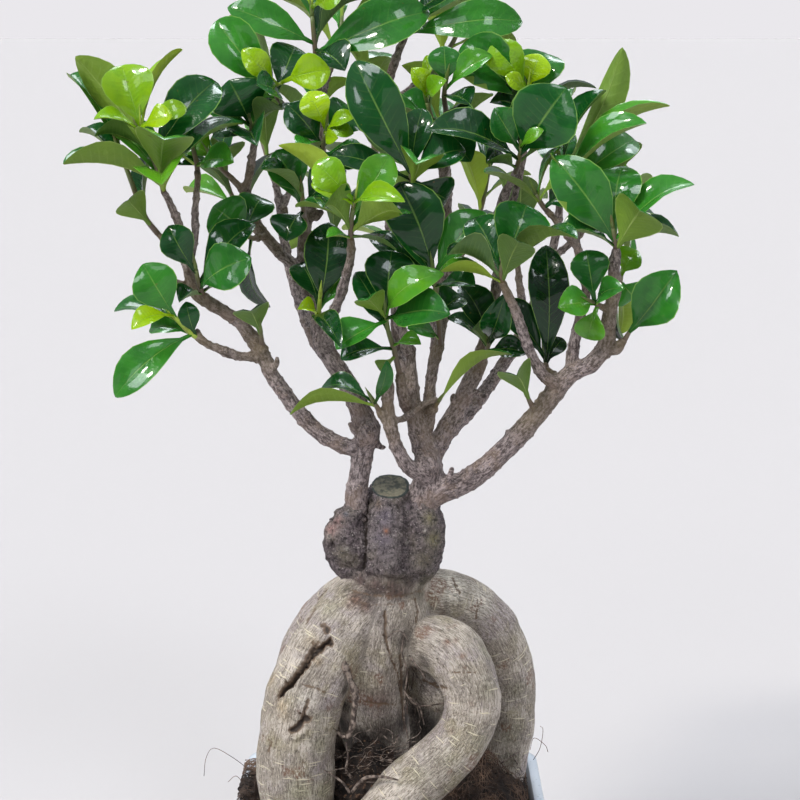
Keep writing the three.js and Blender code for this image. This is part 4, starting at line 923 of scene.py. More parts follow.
# Fine rootlets hang in the hollow between the thick roots and run down into the soil.
rootlet_courses = [
    [(344, 660, -30, 1.2), (345, 667, -34, 2.1), (348, 673, -33, 1.5), (351, 682, -35, 1.4),
     (353, 686, -36, 1.8), (354, 691, -37, 1.5), (355, 700, -37, 1.4), (355, 706, -37, 1.7),
     (354, 712, -37, 1.4), (353, 720, -37, 1.5), (353, 725, -37, 1.8), (351, 730, -37, 1.4),
     (348, 736, -37, 1.5)],
    [(354, 686, -34, 0.8), (357, 690, -35, 0.9), (357, 700, -35, 0.7)],
    [(344, 668, -30, 0.9), (340, 667, -31, 0.5)],
    [(349, 736, -35, 0.9), (343, 737, -34, 1.0), (337, 731, -31, 0.7)],
    [(346, 742, -35, 0.5), (348, 756, -36, 0.5), (346, 770, -35, 0.6), (352, 778, -33, 0.9)],
    [(386, 640, -22, 0.25), (394, 632, -26, 0.3), (402, 632, -26, 0.3), (409, 642, -24, 0.3)],
    [(404, 634, -20, 0.4), (402, 652, -22, 0.45), (407, 672, -20, 0.5), (405, 694, -18, 0.4),
     (404, 730, -14, 0.4)],
    [(409, 655, -22, 0.4), (418, 668, -24, 0.5), (425, 677, -23, 0.7)],
    [(404, 690, -18, 0.5), (412, 702, -17, 0.5), (424, 706, -15, 0.4), (444, 703, -12, 0.3)],
    [(409, 697, -17, 0.5), (419, 706, -16, 0.5), (424, 724, -15, 0.4)],
    [(405, 700, -18, 0.5), (404, 716, -18, 0.5), (408, 738, -18, 0.4)],
    [(398, 735, -22, 0.4), (394, 744, -26, 0.4), (384, 736, -26, 0.35)],
    [(324, 770, -46, 0.4), (334, 776, -47, 0.5), (344, 784, -47, 0.6), (349, 792, -46, 0.7)],
    [(352, 792, -40, 0.9), (360, 782, -42, 1.0), (368, 777, -44, 0.9), (384, 777, -48, 0.7),
     (398, 780, -52, 0.4)],
    [(500, 764, 20, 0.3), (512, 756, 22, 0.4), (519, 752, 26, 0.6)],
    [(514, 758, 22, 0.4), (522, 772, 30, 0.4), (528, 790, 36, 0.3)],
]
# The finest can't be told apart: 20 hang at the back of the hollow and 70 creep over the peat.
draw = random.Random(7)
for _ in range(20):
    column, row, depth = draw.uniform(398, 428), draw.uniform(630, 700), draw.uniform(-14, 2)
    drift, trace = draw.uniform(-5, 7), []
    for _ in range(6):
        trace.append((column, row, depth, draw.uniform(0.13, 0.3)))
        drift = 0.6 * drift + draw.uniform(-4, 4)
        column += drift
        row += draw.uniform(3, 12)
        depth += draw.uniform(-3, 3)
    rootlet_courses.append(trace)
for _ in range(70):
    column, row, depth = draw.uniform(342, 425), draw.uniform(742, 775), draw.uniform(-34, 0)
    heading, trace = draw.uniform(0, 6.3), []
    for _ in range(7):
        trace.append((column, row, depth, draw.uniform(0.10, 0.22)))
        heading += draw.uniform(-0.9, 0.9)
        column += 7 * math.cos(heading)
        row += 4 * math.sin(heading)
        depth += draw.uniform(-4, 4)
    rootlet_courses.append(trace)
rootlets = swept("rootlets", [round_ends(course(trace)) for trace in rootlet_courses], 1)
bpy.ops.object.shade_smooth()
rootlet_skin, tree, shader = new_material("rootlet_skin", Roughness=0.7)
spot = coordinates(tree)
rootlet_colour = coated(tree, colour(58, 46, 40),
                        (between(tree, speckle(tree, spot, 420, 3), 0.4, 0.62), (136, 121, 110)))
feed(tree, rootlet_colour, shader, "Base Color")
rootlets.data.materials.append(rootlet_skin)
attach(rootlets, "root")

# Peat is matted in the hollow between the roots, a dark lump that is partly painted shade for the
# hollow, and a tuft of it lies over the pot's left lip.
peat_and_shade_lumps = []
for middle, reach in (((-0.011, -0.018, 0.0975), (0.018, 0.013, 0.031)),
                      ((-0.0757, 0.022, 0.0860), (0.0044, 0.021, 0.0034))):
    bpy.ops.mesh.primitive_ico_sphere_add(subdivisions=6, radius=1)
    lump = bpy.context.object
    lump.data.vertices.foreach_set("co", (corners_of(lump) * np.array(reach) + np.array(middle)).ravel())
    peat_and_shade_lumps.append(lump)
peat_and_shade_mat = join_pieces(peat_and_shade_lumps, "matted_peat_and_shade")
roughen(peat_and_shade_mat, clods, 0.007)
roughen(peat_and_shade_mat, grit, 0.003)
bpy.ops.object.shade_smooth()
peat_and_shade_mat.data.materials.append(peat)
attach(peat_and_shade_mat, "root")

# ---- Scions ----
# Two fig stems were grafted on the sawn stock, and each grew into forked woody limbs with grey-
# brown bark, corky dots, old leaf scars and the stubs of pruned twigs. Courses run outwards.
limbs = {
    "left": {
        "trunk": [(361, 524, -7, 5), (356, 500, -8, 5.8), (360, 470, -8, 5.4), (364, 446, -8, 5.6),
                  (367, 431, -8, 7.2), (360, 410, -8, 5.4), (348, 385, -8, 5.0), (332, 360, -9, 4.7),
                  (324, 344, -9, 4.5), (318, 324, -10, 4.2)],
        "outer": [(366, 450, -8, 4.6), (342, 445, -10, 4.3), (314, 428, -12, 4.0), (291, 402, -14, 3.9),
                  (272, 375, -16, 3.8), (262, 353, -17, 3.7), (240, 323, -19, 3.3), (215, 306, -21, 3.1),
                  (197, 294, -23, 3.0), (188, 270, -25, 2.5), (181, 232, -28, 2.2), (171, 205, -31, 1.9),
                  (164, 193, -32, 1.7)],
        "inner": [(326, 348, -8, 3.6), (314, 310, -2, 3.6), (302, 274, 4, 3.5), (283, 256, 8, 3.0),
                  (264, 234, 9, 2.8), (252, 212, 9, 2.6), (246, 195, 8, 2.5), (250, 170, 6, 2.0),
                  (254, 146, 4, 1.7)],
        "leader": [(306, 282, 4, 3.2), (303, 248, 10, 3.0), (309, 214, 14, 2.7), (318, 182, 16, 2.4),
                   (321, 140, 17, 2.2), (319, 95, 17, 2.0), (316, 58, 16, 1.8)],
        "rear": [(330, 362, -6, 3.4), (312, 335, 22, 3.2), (296, 290, 46, 2.9), (284, 240, 62, 2.5),
                 (278, 195, 72, 2.1), (270, 165, 78, 1.8)],
    },
    "right": {
        "trunk": [(424, 512, -6, 6), (431, 488, -7, 6.6), (429, 463, -6, 6.8), (422, 440, -5, 6),
                  (414, 412, -4, 4.9), (411, 392, -4, 4.2), (411, 363, -2, 2.9), (409, 349, 0, 2.7),
                  (401, 326, 2, 2.5)],
        "outer": [(434, 496, -7, 6), (444, 490, -9, 6.3), (470, 479, -11, 5.8), (497, 457, -14, 5.4),
                  (523, 430, -17, 5.2), (547, 402, -19, 5.0), (569, 375, -21, 4.6), (590, 364, -23, 4.3),
                  (605, 346, -25, 4.2), (609, 318, -27, 3.7), (614, 290, -29, 3.5), (614, 266, -31, 3.0),
                  (616, 252, -32, 2.5)],
        "front": [(428, 478, -9, 4.6), (410, 468, -16, 3.7), (397, 448, -20, 3.4), (390, 422, -22, 3.2),
                  (388, 402, -23, 3.1), (388, 387, -23, 3.0)],
        "mid": [(420, 440, -5, 4.2), (429, 418, -3, 3.4), (430, 388, 0, 2.7), (433, 362, 3, 2.5),
                (438, 346, 5, 2.6)],
        "heavy": [(427, 470, -4, 5.6), (440, 441, 0, 5.2), (456, 413, 4, 5.0), (468, 386, 7, 4.6),
                  (478, 364, 9, 4.2), (488, 330, 9, 3.2), (496, 290, 7, 2.8), (500, 250, 3, 2.5),
                  (498, 216, -3, 2.3), (506, 192, -9, 2.0), (515, 174, -14, 1.7)],
        "leader": [(412, 396, -2, 3.4), (400, 360, 14, 2.8), (396, 310, 28, 2.9), (393, 250, 36, 3.2),
                   (387, 190, 38, 2.8), (384, 130, 34, 2.5), (390, 78, 28, 2.2), (405, 36, 22, 1.8)],
        "rear": [(428, 452, 0, 4.2), (427, 410, 30, 3.0), (434, 360, 54, 2.7), (438, 300, 72, 2.8),
                 (446, 240, 84, 2.6), (448, 190, 90, 2.1), (446, 160, 92, 1.8)],
        "rear_right": [(448, 432, 2, 4.2), (478, 400, 26, 3.8), (512, 350, 48, 3.3), (540, 290, 62, 2.8),
                       (556, 235, 70, 2.3), (560, 200, 72, 1.9)],
    },
}
# A shoot is its scion, the twig that carries it or the name of the limb that it ends, the course
# of its leafy stem, and the course of its young tip where it has one.
shoots = {
    "left_top": ("left", "outer", [(158, 170, -36), (142, 137, -40)], [(141, 126, -41)]),
    "left_side": (
        "left", [(187, 264, -25, 2), (172, 248, -27, 1.8), (158, 234, -28, 1.6)],
        [(144, 215, -29), (130, 178, -31), (118, 146, -33)], []),
    "left_middle": (
        "left", [(189, 266, -25, 2), (195, 238, -20, 1.9), (195, 212, -16, 1.8), (198, 174, -12, 1.6)],
        [(196, 160, -11), (191, 142, -10)], []),
    "left_low": (
        "left", [(262, 357, -17, 2.6), (240, 356, -22, 2.3), (216, 348, -26, 2.1), (198, 338, -29, 1.9)],
        [(188, 331, -31), (172, 314, -35)], []),
    "left_inner": (
        "left", [(211, 303, -21, 2.3), (204, 296, -26, 2.1)],
        [(199, 284, -30), (196, 270, -33)], []),
    "left_spur": ("left", [(262, 355, -17, 2.4), (262, 345, -21, 1.9)], [(261, 334, -25)], []),
    "inner_side": ("left", [(266, 236, 9, 2), (258, 238, 2, 1.8)], [(250, 238, -4), (243, 232, -8)], []),
    "inner_top": ("left", "inner", [(252, 132, 1), (249, 118, -2)], []),
    "inner_fork": (
        "left", [(248, 202, 9, 2), (240, 187, 6, 1.9), (228, 175, 2, 1.7)],
        [(219, 166, -2), (213, 158, -4)], []),
    "upper_left": (
        "left", [(320, 160, 16, 2), (300, 128, 8, 1.8), (286, 108, 3, 1.6)],
        [(276, 96, 0), (272, 88, -2)], [(283, 82, -3)]),
    "top_left": ("left", "leader", [(314, 38, 14), (312, 16, 12)], [(312, 4, 11)]),
    "front_upper": (
        "left", [(313, 205, 14, 2), (318, 180, 2, 1.8), (321, 160, -8, 1.6)],
        [(323, 146, -13), (325, 134, -16)], [(326, 126, -17)]),
    "front": (
        "left", [(330, 356, -9, 3), (328, 328, -14, 2.8), (340, 296, -24, 2.5), (347, 274, -30, 2.3),
                 (351, 256, -35, 2.1), (351, 240, -38, 1.9)],
        [(351, 224, -42), (353, 208, -47)], [(355, 198, -50)]),
    "inner_dark": (
        "left", [(306, 234, 12, 2), (304, 216, 0, 1.7)],
        [(303, 204, -8), (302, 192, -13)], []),
    "stub_shoot": ("left", "trunk", [(319, 310, -12), (320, 298, -15)], []),
    "center_low": (
        "right", [(409, 410, -8, 3.6), (403, 396, -14, 3), (400, 376, -18, 2.6)],
        [(394, 350, -24), (388, 330, -29), (386, 314, -33)], []),
    "center_foot": ("right", [(388, 420, -22, 3), (380, 412, -24, 2.2)], [(374, 402, -27)], []),
    "long_leaf": ("right", [(428, 412, -3, 3), (434, 408, -10, 2.2)], [(438, 402, -14)], []),
    "center_front": (
        "right", [(436, 360, 4, 2.8), (440, 346, 0, 2.2)],
        [(439, 326, -8), (436, 300, -18), (435, 284, -23), (433, 270, -26)], []),
    "center_upper": (
        "right", [(400, 330, 2, 2.8), (402, 280, -6, 2.5), (406, 230, -14, 2.2), (410, 196, -20, 1.9)],
        [(411, 180, -24), (411, 168, -27)], []),
    "mid_leader": (
        "right", [(438, 348, 5, 2.8), (446, 300, 12, 2.5), (450, 250, 15, 2.3), (445, 190, 13, 2.1),
                  (437, 140, 8, 1.8)],
        [(432, 120, 4), (427, 102, 0)], [(426, 92, -2)]),
    "mid_side": (
        "right", [(444, 172, 12, 2), (450, 138, 6, 1.8), (446, 110, 0, 1.6)],
        [(444, 96, -4), (446, 82, -8)], []),
    "top_right": ("right", "leader", [(411, 16, 19), (417, -2, 17)], []),
    "upper_right": (
        "right", [(500, 240, 2, 2.2), (516, 190, 8, 2), (524, 150, 8, 1.8), (527, 122, 6, 1.6)],
        [(528, 108, 4), (527, 96, 2)], [(528, 88, 0)]),
    "right_front": ("right", "heavy", [(519, 160, -18), (521, 146, -22)], []),
    "right_upper": (
        "right", [(570, 374, -20, 3.2), (574, 346, -20, 3), (580, 318, -18, 2.7),
                  (586, 290, -16, 2.4), (580, 262, -14, 2.2), (574, 225, -12, 2), (568, 192, -12, 1.7)],
        [(564, 176, -12), (560, 160, -12)], []),
    "right_end": ("right", "outer", [(615, 240, -34), (613, 228, -36)], []),
    "right_inner": (
        "right", [(562, 386, -20, 3.4), (546, 378, -24, 3), (536, 364, -26, 2.8),
                  (526, 342, -29, 2.6), (516, 312, -32, 2.4), (508, 294, -34, 2.2), (503, 284, -35, 2)],
        [(501, 272, -38), (503, 262, -41)], []),
    "right_fork": (
        "right", [(564, 380, -20, 3), (553, 376, -14, 2.4), (547, 370, -10, 1.9)],
        [(545, 358, -8)], []),
    "right_spur": ("right", [(611, 312, -27, 2.4), (600, 306, -31, 1.9)], [(594, 303, -34)], []),
    "right_lone": (
        "right", [(605, 348, -25, 3.4), (615, 349, -27, 3), (624, 341, -29, 1.8)],
        [(630, 331, -31)], []),
    "right_behind": (
        "right", [(613, 296, -28, 2.2), (618, 290, -20, 1.8)],
        [(620, 282, -12), (622, 272, -6)], []),
    "right_under": ("right", [(540, 412, -19, 2.2), (532, 406, -22, 1.7)], [(528, 398, -24)], []),
    "right_mid": (
        "right", [(577, 248, -13, 2), (560, 226, -16, 1.8), (548, 212, -18, 1.6)],
        [(540, 202, -19), (536, 194, -20)], []),
    "heavy_spur": (
        "right", [(478, 362, 9, 3.2), (484, 356, 4, 2.2)],
        [(488, 348, 0), (488, 338, -3)], []),
    "rear_left_top": ("left", "rear", [(262, 140, 84), (256, 112, 88)], []),
    "rear_left_side": (
        "left", [(290, 262, 54, 2.3), (262, 236, 50, 2), (246, 220, 46, 1.7)],
        [(232, 196, 42), (224, 170, 38)], []),
    "rear_left_inner": (
        "left", [(280, 210, 68, 2.2), (296, 180, 80, 1.9), (304, 160, 86, 1.7)],
        [(312, 134, 92), (316, 104, 95)], []),
    "rear_left_low": (
        "left", [(304, 310, 36, 2.6), (322, 280, 56, 2.2), (330, 262, 66, 1.8)],
        [(334, 236, 76), (334, 208, 82)], []),
    "rear_crown": (
        "left", [(319, 110, 17, 2), (326, 80, 34, 1.8), (334, 60, 44, 1.6)],
        [(340, 38, 52), (342, 16, 58)], []),
    "rear_center": ("right", "rear", [(442, 134, 94), (436, 104, 95)], []),
    "rear_center_low": (
        "right", [(434, 324, 66, 2.4), (416, 290, 84, 2.1), (406, 270, 90, 1.8)],
        [(398, 244, 98), (392, 214, 102)], []),
    "rear_center_side": (
        "right", [(440, 286, 74, 2.3), (462, 254, 92, 2), (472, 234, 98, 1.8)],
        [(482, 206, 104), (488, 176, 106)], []),
    "rear_leader": (
        "right", [(388, 200, 38, 2.3), (378, 168, 50, 2), (374, 146, 55, 1.8)],
        [(370, 116, 60), (370, 84, 62)], []),
    "rear_top": (
        "right", [(386, 108, 31, 2), (420, 80, 44, 1.8), (438, 64, 50, 1.6)],
        [(452, 44, 56), (462, 22, 58)], []),
    "rear_right_top": ("right", "rear_right", [(560, 170, 74), (554, 138, 74)], []),
    "rear_right_side": (
        "right", [(548, 262, 66, 2.2), (574, 240, 52, 1.9), (588, 226, 46, 1.7)],
        [(602, 204, 38), (612, 178, 32)], []),
    "rear_right_low": (
        "right", [(526, 322, 55, 2.4), (520, 288, 70, 2.1), (518, 268, 78, 1.8)],
        [(516, 240, 86), (512, 210, 90)], []),
}

bark, tree, shader = new_material("limb_bark", Roughness=0.72)
spot = coordinates(tree)
grain = stored(tree, "grain", "Vector")
mark = stored(tree, "mark")
fresh = stored(tree, "fresh")
fibres = speckle(tree, scaled(tree, grain, (380, 900, 900)), 1.0, 4, 0.7)
patches = speckle(tree, spot, 85, 3)
fine = speckle(tree, spot, 950, 3, 0.75)
dot_cells = add_node(tree, "TexVoronoi", {"Vector": scaled(tree, grain, (560, 380, 380)), "Scale": 1.0})
corky_dots = combine(tree, between(tree, dot_cells.outputs["Distance"], 0.14, 0.26, 1.0, 0.0),
                     between(tree, patches, 0.42, 0.48))
bark_colour = coated(
    tree, colour(76, 65, 63),
    (between(tree, fibres, 0.38, 0.62), (166, 151, 148)),
    (between(tree, patches, 0.50, 0.66, 0.0, 0.55), (122, 102, 88)),
    (between(tree, speckle(tree, spot, 130, 2), 0.58, 0.70, 0.0, 0.55), (148, 134, 130)),
    (combine(tree, corky_dots, 0.8), (174, 154, 140)),
    (between(tree, fine, 0.56, 0.66, 0.0, 0.6), (50, 41, 38)),
    (combine(tree, fresh, 0.7), (112, 98, 68)),
    (between(tree, mark, 0.2, 0.9, 0.0, 0.75), (46, 36, 30)))
feed(tree, bark_colour, shader, "Base Color")
grooves = combine(tree, fibres, combine(tree, corky_dots, 1.2), "ADD")
skin = raise_surface(tree, shader, grooves, 0.75, 0.0008)
raise_surface(tree, shader, fine, 0.45, 0.0004, skin)

# Knots, old leaf scars and pruned stubs on each scion: (column, row, depth, radius).
knobs = {
    "left": [[(367, 436, -12, 6.4), (368, 430, -13, 5.4)], [(272, 370, -19, 1.8), (277, 364, -20, 1.4),
             (277, 358, -21, 1.3)], [(200, 338, -28, 1.6), (197, 331, -28, 1.4)], [(262, 352, -18, 3.9),
             (262, 349, -19, 3.4)], [(284, 222, 7, 2.0), (284, 214, 6, 2.3), (284, 209, 5, 2.0)],
             [(246, 198, 7, 3.0), (245, 192, 6, 2.6)], [(309, 216, 13, 2.8), (314, 212, 11, 2.6)],
             [(316, 217, 12, 1.8), (321, 212, 10, 1.7)], [(324, 346, -11, 4.9), (321, 340, -12, 4.5)],
             [(303, 264, 5, 3.4), (302, 258, 4, 3.0)], [(213, 306, -22, 3.3), (210, 304, -23, 2.9)],
             [(188, 268, -27, 2.7), (188, 263, -27, 2.3)], [(181, 284, -26, 1.6), (173, 280, -28, 1.5),
             (170, 277, -28, 1.6)], [(198, 182, -13, 1.7), (197, 172, -13, 1.5)],
             [(361, 436, -13, 2.0), (354, 431, -15, 1.4), (350, 424, -15, 1.1)],
             [(375, 440, -9, 2.0), (380, 446, -9, 1.4), (384, 447, -9, 1.0)]],
    "right": [[(388, 394, -23, 3.5), (387, 385, -24, 3.7)], [(391, 419, -22, 1.7), (402, 419, -19, 1.6),
              (413, 412, -15, 1.5), (424, 404, -13, 1.5), (436, 399, -14, 1.3)], [(412, 500, -4, 4.5),
              (417, 490, -4, 5.0), (424, 482, -5, 5.0)], [(411, 390, -5, 4.5), (410, 383, -5, 3.8)],
              [(409, 350, -1, 3.8), (406, 345, -2, 3.4)], [(446, 488, -10, 6.4), (453, 483, -11, 5.4)],
              [(472, 390, 5, 1.8), (479, 394, 2, 1.5), (484, 396, 0, 1.5)], [(456, 412, 2, 1.8),
              (453, 404, 0, 1.5), (453, 397, -1, 1.5)], [(524, 430, -18, 5.4), (530, 424, -19, 4.8)],
              [(548, 400, -20, 5.3), (552, 396, -21, 4.8)], [(590, 365, -24, 4.6), (596, 360, -25, 4.0)],
              [(609, 322, -28, 4.0), (609, 316, -28, 3.6)], [(487, 332, 8, 3.6), (488, 325, 8, 3.1)],
              [(499, 250, 2, 2.8), (500, 244, 1, 2.4)], [(427, 466, -10, 7.0), (426, 460, -10, 6.4)],
              [(614, 268, -32, 3.2), (614, 263, -32, 2.8)], [(447, 490, -13, 2.0), (449, 478, -17, 1.5),
              (452, 469, -18, 1.2)], [(462, 484, -15, 1.8), (470, 474, -18, 1.3), (470, 468, -19, 1.4)]],
}
# Pruned ends and scars that show dark wood: (column, row, depth, reach in millimetres).
scars = [(388, 384, -26, 2.6), (410, 348, -1, 2.4), (366, 432, -15, 3.2), (453, 397, -1, 2),
         (321, 338, -14, 2.4), (198, 330, -29, 1.8), (203, 434, -8, 2), (488, 325, 6, 2.4),
         (524, 424, -20, 2), (246, 192, 5, 2.2), (197, 172, -14, 1.8), (321, 211, 10, 1.8),
         (484, 396, -1, 1.8), (344, 445, -13, 2), (600, 352, -27, 2.2)]
ring_spacing = 0.0125
ring_height = 0.00042
wart_count = 420
green_reach = 0.022


def swell_bark(piece):
    """Raises leaf-scar rings and scattered corky warts, and returns how dark each corner is."""
    corners = corners_of(piece)
    grain = np.empty(len(corners) * 3, np.float32)
    piece.data.attributes["grain"].data.foreach_get("vector", grain)
    along = grain.reshape(-1, 3)[:, 0].astype(float)
    along += 0.0022 * np.sin(along * 310) + 0.0016 * np.sin(along * 97 + 2)
    from_ring = np.abs((along % ring_spacing) - ring_spacing / 2)
    raised = ring_height * np.exp(-(from_ring / 0.0009) ** 2)
    dark = 0.5 * np.exp(-((from_ring - 0.0013) / 0.0005) ** 2)
    for _ in range(wart_count):
        at = corners[draw.randrange(len(corners))]
        reach = draw.uniform(0.0006, 0.0013)
        bump = np.exp(-(((corners - at) ** 2).sum(1)) / reach ** 2)
        raised += 0.45 * reach * bump
    for column, row, depth, reach in scars:
        away = np.linalg.norm(corners - np.array(place(column, row, depth)), axis=1)
        dark = np.maximum(dark, np.exp(-(away * 1000 / reach) ** 2))
    piece.data.vertices.foreach_set("co", (corners + normals_of(piece) * raised[:, None]).ravel())
    piece.data.update()
    return dark


draw = random.Random(3)
bark_lumps = rough_texture("bark_lumps", "CLOUDS", 0.007, noise_depth=2)
for side in ("left", "right"):
    lines = [round_ends(course(trace, 0.0015)) for trace in limbs[side].values()]
    twig_lines = [round_ends(course(wood, 0.0012)) for scion, wood, *_ in shoots.values()
                  if scion == side and not isinstance(wood, str)]
    knob_lines = [round_ends(course(trace, 0.0012), start=True) for trace in knobs[side]]
    scion = swept(side + "_scion", lines + twig_lines + knob_lines, 4)
    grow_together(scion, voxel=0.00078, passes=4)
    follow_grain(scion, lines + twig_lines)
    roughen(scion, bark_lumps, 0.0013)
    store(scion, "mark", swell_bark(scion))
    # The wood turns green towards each twig's end, the last point before its dome.
    corners = corners_of(scion)
    greenness = np.zeros(len(corners))
    for line in twig_lines:
        from_end = np.linalg.norm(corners - np.array(line[-1 - len(dome)][0]), axis=1)
        greenness = np.maximum(greenness, 1 - from_end / green_reach)
    store(scion, "fresh", np.clip(greenness, 0, 1))
    bpy.ops.object.shade_smooth()
    scion.data.materials.append(bark)
    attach(scion, "root")
    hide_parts("scion_" + side)

# ---- Leafy shoots ----
# Each twig ends in a green stem with leathery fig leaves: obovate, glossy above, dull olive
# below, folded along the midrib. Young shoots are lime green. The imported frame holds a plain
# leaf at each true seat, so each seat is read from it: root, tip, width, and which side is up.
leaf_fold = 0.26
leaf_arch = 0.07
petiole_length = 0.006
short_neck = 0.22  # the petiole's share of a short leaf
petiole_half = 0.00115
petiole_thickness = 0.0009
midrib_thickness = 0.00062
margin_thickness = 0.00042
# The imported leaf's last row of corners before its tip.
last_row_share = 0.28  # of the blade's length is past it
last_row_half = 0.88  # of the blade's half width
last_row_gap = 0.001105  # between its two midrib corners
stem_radius = 0.00145
stem_tip_radius = 0.00105
young_radius = 0.00095
young_tip_radius = 0.00067
young_shoots = ("left_low", "stub_shoot")

# Rows of the dressed leaf along its blade, with their half widths in the two forms it ranges between.
leaf_rows = [0.0, 0.13, 0.30, 0.48, 0.64, 0.77, 0.87, 0.94, 0.985]
obovate = [0.13, 0.32, 0.60, 0.87, 1.0, 0.955, 0.79, 0.55, 0.24]
elliptic = [0.13, 0.46, 0.83, 1.0, 0.95, 0.78, 0.53, 0.29, 0.11]
across_top = (-1.0, -0.52, 0.0, 0.52, 1.0)

bpy.ops.mesh.primitive_plane_add(size=1)
leaf_model = bpy.context.object
leaf_model.name = "leaf_model"
shape = bmesh.new()
rings = []
for along in [-1.0] + leaf_rows:
    ring = [shape.verts.new((u, along, 1)) for u in across_top]
    ring += [shape.verts.new((u, along, -1)) for u in (0.52, 0.0, -0.52)]
    rings.append(ring)
tip = shape.verts.new((0, 1, 0))
uv = shape.loops.layers.uv.new("blade")
for here, there in zip(rings, rings[1:]):
    for k in range(8):
        face = shape.faces.new((here[k], here[(k + 1) % 8], there[(k + 1) % 8], there[k]))
        face.material_index = 0 if k < 4 else 1
for k in range(8):
    face = shape.faces.new((rings[-1][k], rings[-1][(k + 1) % 8], tip))
    face.material_index = 0 if k < 4 else 1
shape.faces.new(rings[0][::-1])
for face in shape.faces:
    for loop in face.loops:
        loop[uv].uv = (0.5 + 0.5 * loop.vert.co.x, loop.vert.co.y)
bmesh.ops.recalc_face_normals(shape, faces=shape.faces)
for edge in shape.edges:
    if {face.material_index for face in edge.link_faces} == {0, 1}:
        edge.smooth = False
for face in shape.faces:
    face.smooth = True
shape.to_mesh(leaf_model.data)
shape.free()
model_corners = corners_of(leaf_model)
model_u = model_corners[:, 0]
model_v = model_corners[:, 1]
model_face = np.where(np.abs(model_u) > 0.99, 0.0, np.where(model_corners[:, 2] > 0, 1.0, -1.0))
model_face[-1] = 0.0


def read_seats(node):
    """The seats of a shoot's packed leaves. A tip joins the two midrib corners and the two sides."""
    solid = bmesh.new()
    solid.from_mesh(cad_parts[node].data)
    bmesh.ops.remove_doubles(solid, verts=solid.verts, dist=1e-6)
    seats = []
    for tip in solid.verts:
        near = [edge.other_vert(tip) for edge in tip.link_edges]
        if len(near) != 4:
            continue
        first = near[0]
        across = [other for other in near[1:]
                  if not any(edge.other_vert(first) == other for edge in other.link_edges)]
        if len(across) != 1:
            continue
        pairs = [(first, across[0]), tuple(v for v in near if v not in (first, across[0]))]
        pairs.sort(key=lambda pair: (pair[0].co - pair[1].co).length)
        (a, b), (left, right) = pairs
        if abs((a.co - b.co).length - last_row_gap) > 0.00002:
            continue
        middle = (a.co + b.co) / 2
        sides = (left.co + right.co) / 2
        up = (a.co - b.co).normalized()
        if (sides - middle).dot(up) < 0:
            up = -up
        side = (right.co - left.co).normalized()
        along = up.cross(side)
        if (tip.co - middle).dot(along) < 0:
            along = -along
            side = -side
        blade = (tip.co - middle).dot(along) / last_row_share
        length = min(blade + petiole_length, blade / (1 - short_neck))
        half = (right.co - left.co).length / 2 / last_row_half
        if 0.008 < length < 0.13:
            seats.append((tip.co - along * length, along, side, up, length, half))
    solid.free()
    return seats


def leaf_at(seat, bend):
    """A copy of the model leaf, laid over the seat. bend holds its small ways of being itself."""
    root, along, side, up, length, half = (np.array(value) for value in seat)
    neck = min(petiole_length, short_neck * length)
    blade = length - neck
    v = np.clip(model_v, 0, 1)
    blade_widths = [a + (b - a) * bend["elliptic"] for a, b in zip(obovate, elliptic)]
    widths = np.where(model_v < 0, 0.0, np.interp(v, leaf_rows + [1.0], blade_widths + [0.0]))
    reach = np.where(model_v < 0, neck * (1 + model_v), neck + blade * v)
    flat = np.maximum(petiole_half * 0.86 * (v < 0.08), half * widths) * model_u
    closing = np.where(v < 0.02, 0.0, bend["fold"] * (0.75 + 0.5 * v))
    folded = np.abs(flat) * (leaf_fold + closing)
    spread = flat * np.sqrt(1 - 0.5 * np.clip(closing, 0, 1))
    arched = 4 * (leaf_arch + bend["arch"]) * length * (reach / length) * (1 - reach / length)
    swell = bend["swell"] * half * widths * np.sin(np.pi * np.abs(model_u)) * (v > 0.02)
    ripple = np.sin(bend["beats"] * np.pi * v + bend["phase"] + 2.2 * (model_u > 0))
    wave = bend["wave"] * half * ripple * model_u ** 2 * widths
    recurve = -bend["recurve"] * length * np.clip((v - 0.55) / 0.45, 0, 1) ** 2
    twist = bend["twist"] * spread * v
    thick = np.where(np.abs(model_u) < 0.1, midrib_thickness, margin_thickness)
    thick = np.where(model_v < 0, petiole_thickness, thick * np.where(v > 0.9, 0.75, 1.0))
    rise = arched + folded + swell + wave + recurve + twist + model_face * thick
    centre = bend["sway"] * length * np.sin(np.pi * reach / length)
    places = root + along * reach[:, None] + side * (spread + centre)[:, None] + up * rise[:, None]
    leaf = leaf_model.copy()
    leaf.data = leaf_model.data.copy()
    bpy.context.scene.collection.objects.link(leaf)
    leaf.data.vertices.foreach_set("co", places.ravel())
    store(leaf, "tone", np.full(len(v), bend["tone"]))
    return leaf


def pixel_of(point):
    """The column and row at which the camera sees a point."""
    away = point - eye
    depth = away.dot(ahead)
    return (picture_middle + lens_in_pixels * away.x / depth,
            picture_middle - lens_in_pixels * away.dot(overhead) / depth)
